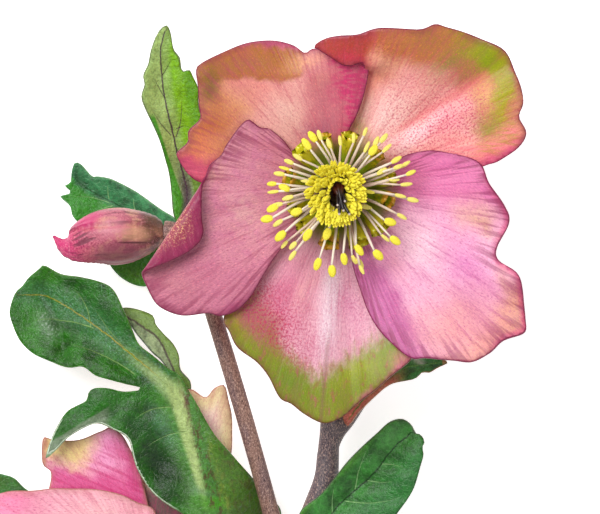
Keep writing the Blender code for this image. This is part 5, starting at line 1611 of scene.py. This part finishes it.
make_leaf("leaf_large_lobe", "leaf_large", SMALL_LOBE, [(-31.6, -40.0), (-34.2, -34.4), (-36.8, -29.6), (-43.0, -25.4)],
          lambda x, y: 17.1 - 0.42 * (y + 42.0) - 3.4 * smooth(-34.5, -40.5, y),
          leaf_paint("small_lobe", tint(152, 172, 124), lobe_patches, [], tint(120, 130, 100), tint(70, 66, 52), 0.1,
                     tint(66, 70, 62), 0.46), 0.3, 2.0, 32, 0.05)

# %% [markdown]
# ### Upright leaf
#
# It shows its pale underside, with a dark purple rib, and the right half turns its bright upper side to the
# light. A strip of the upper side also shows along the lower left, where the margin curls round.

# %% Upright leaf
UPRIGHT_LEAF = [
    (-31.4, -7.6), (-32.6, -6.6), (-33.6, -3.4), (-34.2, 2.8), (-35.0, 6.0), (-36.0, 9.6), (-37.6, 13.2), (-38.8, 16.0),
    (-39.8, 18.8), (-39.2, 21.2), (-39.4, 23.0), (-38.4, 25.2), (-38.0, 27.8), (-37.2, 30.2), (-36.0, 32.2),
    (-34.8, 33.0), (-34.0, 31.6), (-33.4, 28.2), (-32.2, 26.6), (-31.6, 24.0), (-30.2, 24.2), (-29.4, 22.6),
    (-28.4, 20.2), (-28.4, 17.8), (-27.8, 14.8), (-26.8, 12.0), (-26.6, 7.0), (-27.4, 2.0), (-28.6, -2.2),
    (-30.2, -6.4),
]
UPRIGHT_RIB = [(-31.3, -6.6), (-30.6, -1.6), (-31.6, 3.8), (-32.8, 8.2), (-33.8, 12.6), (-35.0, 17.8),
               (-35.7, 22.8), (-36.0, 28.0), (-35.2, 31.6)]


def upright_height(x, y):
    return 12.6 + 0.09 * (y + 5.0) - 3.2 * bump(y - 2.0, 7.0)


def upright_patches(paint, x, y, along, aside, spot):
    right = aside.step(-0.9, -2.6) * y.step(3.0, 10.0)
    return [
        ((122, 150, 96), 0.8 * y.step(10.0, 0.0)),
        ((140, 176, 84), 0.9 * aside.step(0.0, -0.4) * y.step(4.0, 9.0)),
        ((122, 178, 14), right),
        ((86, 152, 12), 0.8 * right * aside.step(-3.0, -5.5)),
        ((60, 146, 16), 0.95 * (x + 0.345 * y).step(-31.9, -32.3) * y.step(15.8, 14.2)),
        ((96, 136, 16), 0.9 * aside.step(-1.0, -1.8) * y.step(6.0, 2.5)),
        ((70, 54, 62), 0.9 * abs(aside).step(1.7, 0.5) * y.step(9.0, -1.0)),
    ]


UPRIGHT_VEINS = [
    (-33.9, 11.0, -38.0, 17.2, 0.4, 0.22), (-35.0, 18.4, -37.6, 23.4, 0.2, 0.22),
    (-32.9, 10.6, -31.8, 18.8, -0.5, 0.26), (-32.8, 12.4, -30.8, 13.0, 0.1, 0.2),
    (-35.6, 23.0, -33.6, 27.0, -0.2, 0.18),
]
make_leaf("leaf_upright_skin", "leaf_upright", UPRIGHT_LEAF, UPRIGHT_RIB, upright_height,
          leaf_paint("upright_leaf", tint(162, 192, 108), upright_patches, UPRIGHT_VEINS, tint(84, 66, 72),
                     tint(66, 46, 56), 0.3, tint(84, 92, 60), 0.5, gloss=0.1, cloudy=0.82), 1.3, 4.0, 33, 0.16,
          UPRIGHT_VEINS)

# %% [markdown]
# ### Leaves behind the first bud, under the second bloom, and to the right
#
# The first is blue green, with a toothed tip and pale side veins; the shade in its rib's crease is painted as a
# dark line. The others are glossy green. On the one to the right the rib's crease is painted dark in the same
# way, and the one behind the first bloom shows only a strip past its sepals.

# %% The other leaves
BUD_LEAF = [
    (-31.4, -9.4), (-32.4, -6.6), (-33.8, -5.2), (-35.8, -4.0), (-39.4, -1.4), (-43.0, 0.8), (-46.0, 2.2),
    (-48.6, 2.8), (-50.0, 2.9), (-52.0, 5.2), (-53.4, 5.6), (-54.0, 3.8), (-54.2, 1.6), (-55.4, 1.0),
    (-54.2, -0.4), (-56.4, -1.2), (-54.4, -3.0), (-53.8, -5.0), (-52.2, -6.6), (-47.0, -9.4), (-41.0, -10.2),
    (-40.0, -10.8), (-44.6, -12.0), (-46.4, -14.2), (-45.0, -16.6), (-43.0, -18.2), (-40.6, -19.2),
    (-38.4, -19.2), (-35.8, -17.6), (-33.4, -14.4), (-32.2, -11.4),
]
BUD_LEAF_RIB = [(-33.0, -8.2), (-38.0, -5.8), (-43.2, -3.5), (-48.6, -0.9), (-52.8, 1.8)]
LOW_LEAF = [
    (-31.6, -84.6), (-33.0, -83.5), (-40.0, -80.0), (-47.0, -72.6), (-55.0, -66.0), (-60.0, -62.0),
    (-63.4, -60.0), (-65.6, -58.0), (-68.0, -57.2), (-71.6, -56.2), (-75.0, -54.6), (-76.6, -57.4),
    (-75.6, -61.0), (-73.0, -64.0), (-72.0, -68.0), (-67.0, -72.4), (-60.0, -77.0), (-50.0, -81.4),
    (-41.0, -84.4), (-34.0, -85.6),
]
LOW_RIB = [(-33.0, -84.0), (-45.0, -79.0), (-58.0, -69.6), (-68.0, -61.6), (-75.4, -56.6)]
RIGHT_LEAF = [
    (-7.6, -71.6), (-8.6, -68.0), (-8.0, -64.8), (-6.6, -63.2), (-3.8, -61.0), (-0.8, -57.6), (2.2, -53.8),
    (5.0, -51.0), (7.8, -48.4), (10.0, -46.6), (12.4, -46.0), (14.2, -47.0), (15.2, -48.8), (16.2, -49.0),
    (17.0, -50.4), (16.6, -51.6), (16.8, -53.2), (16.0, -56.0), (14.8, -59.8), (13.4, -62.4), (11.6, -64.8),
    (9.0, -68.0), (4.6, -71.4), (0.0, -73.4), (-4.6, -73.6),
]
RIGHT_RIB = [(-6.6, -72.0), (-3.6, -67.6), (0.6, -62.4), (4.0, -59.6), (7.4, -56.2), (10.4, -52.2), (14.0, -49.0)]
BACK_LEAF = [
    (1.6, -47.4), (0.6, -44.6), (3.0, -39.6), (7.0, -35.4), (12.0, -32.8), (16.8, -33.0), (21.8, -34.4),
    (19.6, -35.6), (18.0, -36.6), (16.6, -36.6), (15.0, -37.9), (10.4, -38.9), (6.8, -41.6), (3.6, -44.9),
]
BACK_RIB = [(2.2, -45.6), (6.0, -40.6), (12.0, -36.0), (20.6, -34.6)]


def bud_leaf_height(x, y):
    t = min(1.0, max(0.0, (x + 56.4) / 24.4))
    return 0.42 + 9.6 * t**2.2


def low_height(x, y):
    return 0.9 + 1.2 * smooth(-50.0, -74.0, x)


def right_height(x, y):
    along = (x + 7.0) * 0.66 + (y + 72.0) * 0.75
    return 9.4 + 0.9 * smooth(0.0, 10.0, along) + 2.6 * smooth(8.0, 32.0, along)


def back_height(x, y):
    return 10.7 + 2.0 * smooth(2.0, 10.0, x) - 1.5 * smooth(12.0, 22.0, x)


def bud_leaf_patches(paint, x, y, along, aside, spot):
    return [
        ((48, 136, 20), 0.9 * aside.step(0.2, 1.6) * x.step(-40.0, -49.0)),
        ((60, 136, 4), 0.9 * y.step(-9.0, -12.0)),
        ((96, 124, 20), 0.6 * spot(-40.6, -17.0, 0.6, 2.4, 1.6, 0)),
    ]


def right_leaf_patches(paint, x, y, along, aside, spot):
    return [
        ((96, 166, 84), 0.7 * spot(10.6, -49.6, 0.8, 3.2, 2.2, 40)),
        ((40, 112, 50), 0.6 * aside.step(-0.5, -5.0)),
        ((80, 148, 30), 0.6 * aside.step(3.4, 5.4)),
    ]


def back_leaf_patches(paint, x, y, along, aside, spot):
    return [
        # painted highlight: a small white glare near the tip
        ((236, 226, 220), 0.6 * spot(15.6, -34.2, 0.2, 0.9, 2.0, -10)),
        ((234, 124, 112), 0.9 * (y - 0.72 * x).step(-44.0, -46.5) * x.step(14.0, 9.0)),
    ]


BUD_VEINS = [
    (-46.4, -1.6, -46.6, 1.4, 0.1, 0.24), (-41.0, -4.2, -41.4, -1.2, 0.1, 0.24), (-46.4, -2.6, -54.6, -1.4, -0.6, 0.2),
    (-45.6, -3.2, -51.4, -5.4, -0.3, 0.22),
]
RIGHT_VEINS = [
    (3.0, -60.2, 5.8, -51.6, 0.5, 0.28), (-1.6, -65.0, -1.0, -59.0, 0.3, 0.26), (8.4, -55.0, 13.2, -55.8, 0.2, 0.26),
    (5.4, -58.2, 11.2, -58.4, -0.4, 0.26), (1.0, -62.4, 12.4, -61.4, -0.9, 0.28),
]
LOW_VEINS = [(-62.0, -66.6, -70.0, -66.0, 0.6, 0.3)]
pale = tint(150, 196, 130)
# painted shade: the dark green rib line stands for the shade in the rib's crease
make_leaf("leaf_behind_bud_skin", "leaf_behind_bud", BUD_LEAF, BUD_LEAF_RIB, bud_leaf_height,
          leaf_paint("bud_leaf", tint(62, 136, 84), bud_leaf_patches, BUD_VEINS, pale, tint(20, 82, 32), 0.3,
                     tint(96, 150, 96), 0.42), 0.9, 4.0, 34, 0.12, BUD_VEINS, 0.6)
make_leaf("leaf_under_bloom_2_skin", "leaf_under_bloom_2", LOW_LEAF, LOW_RIB, low_height,
          leaf_paint("low_leaf", tint(52, 124, 60), plain_green, LOW_VEINS, pale, pale, 0.25, tint(96, 150, 96)),
          0.9, 4.0, 35, 0.1)
# painted shade: the dark green rib line stands for the shade in the rib's crease
make_leaf("leaf_right_skin", "leaf_right", RIGHT_LEAF, RIGHT_RIB, right_height,
          leaf_paint("right_leaf", tint(58, 132, 50), right_leaf_patches, RIGHT_VEINS, pale, tint(14, 56, 12), 0.3,
                     tint(70, 90, 56), 0.4, 8.0), 1.7, 4.0, 36, 0.25, RIGHT_VEINS, 0.7)
make_leaf("leaf_behind_bloom_1_skin", "leaf_behind_bloom_1", BACK_LEAF, BACK_RIB, back_height,
          leaf_paint("back_leaf", tint(52, 128, 50), back_leaf_patches, [], pale, tint(80, 140, 60), 0.15,
                     tint(170, 120, 80), 0.36), 0.8, 4.0, 37)
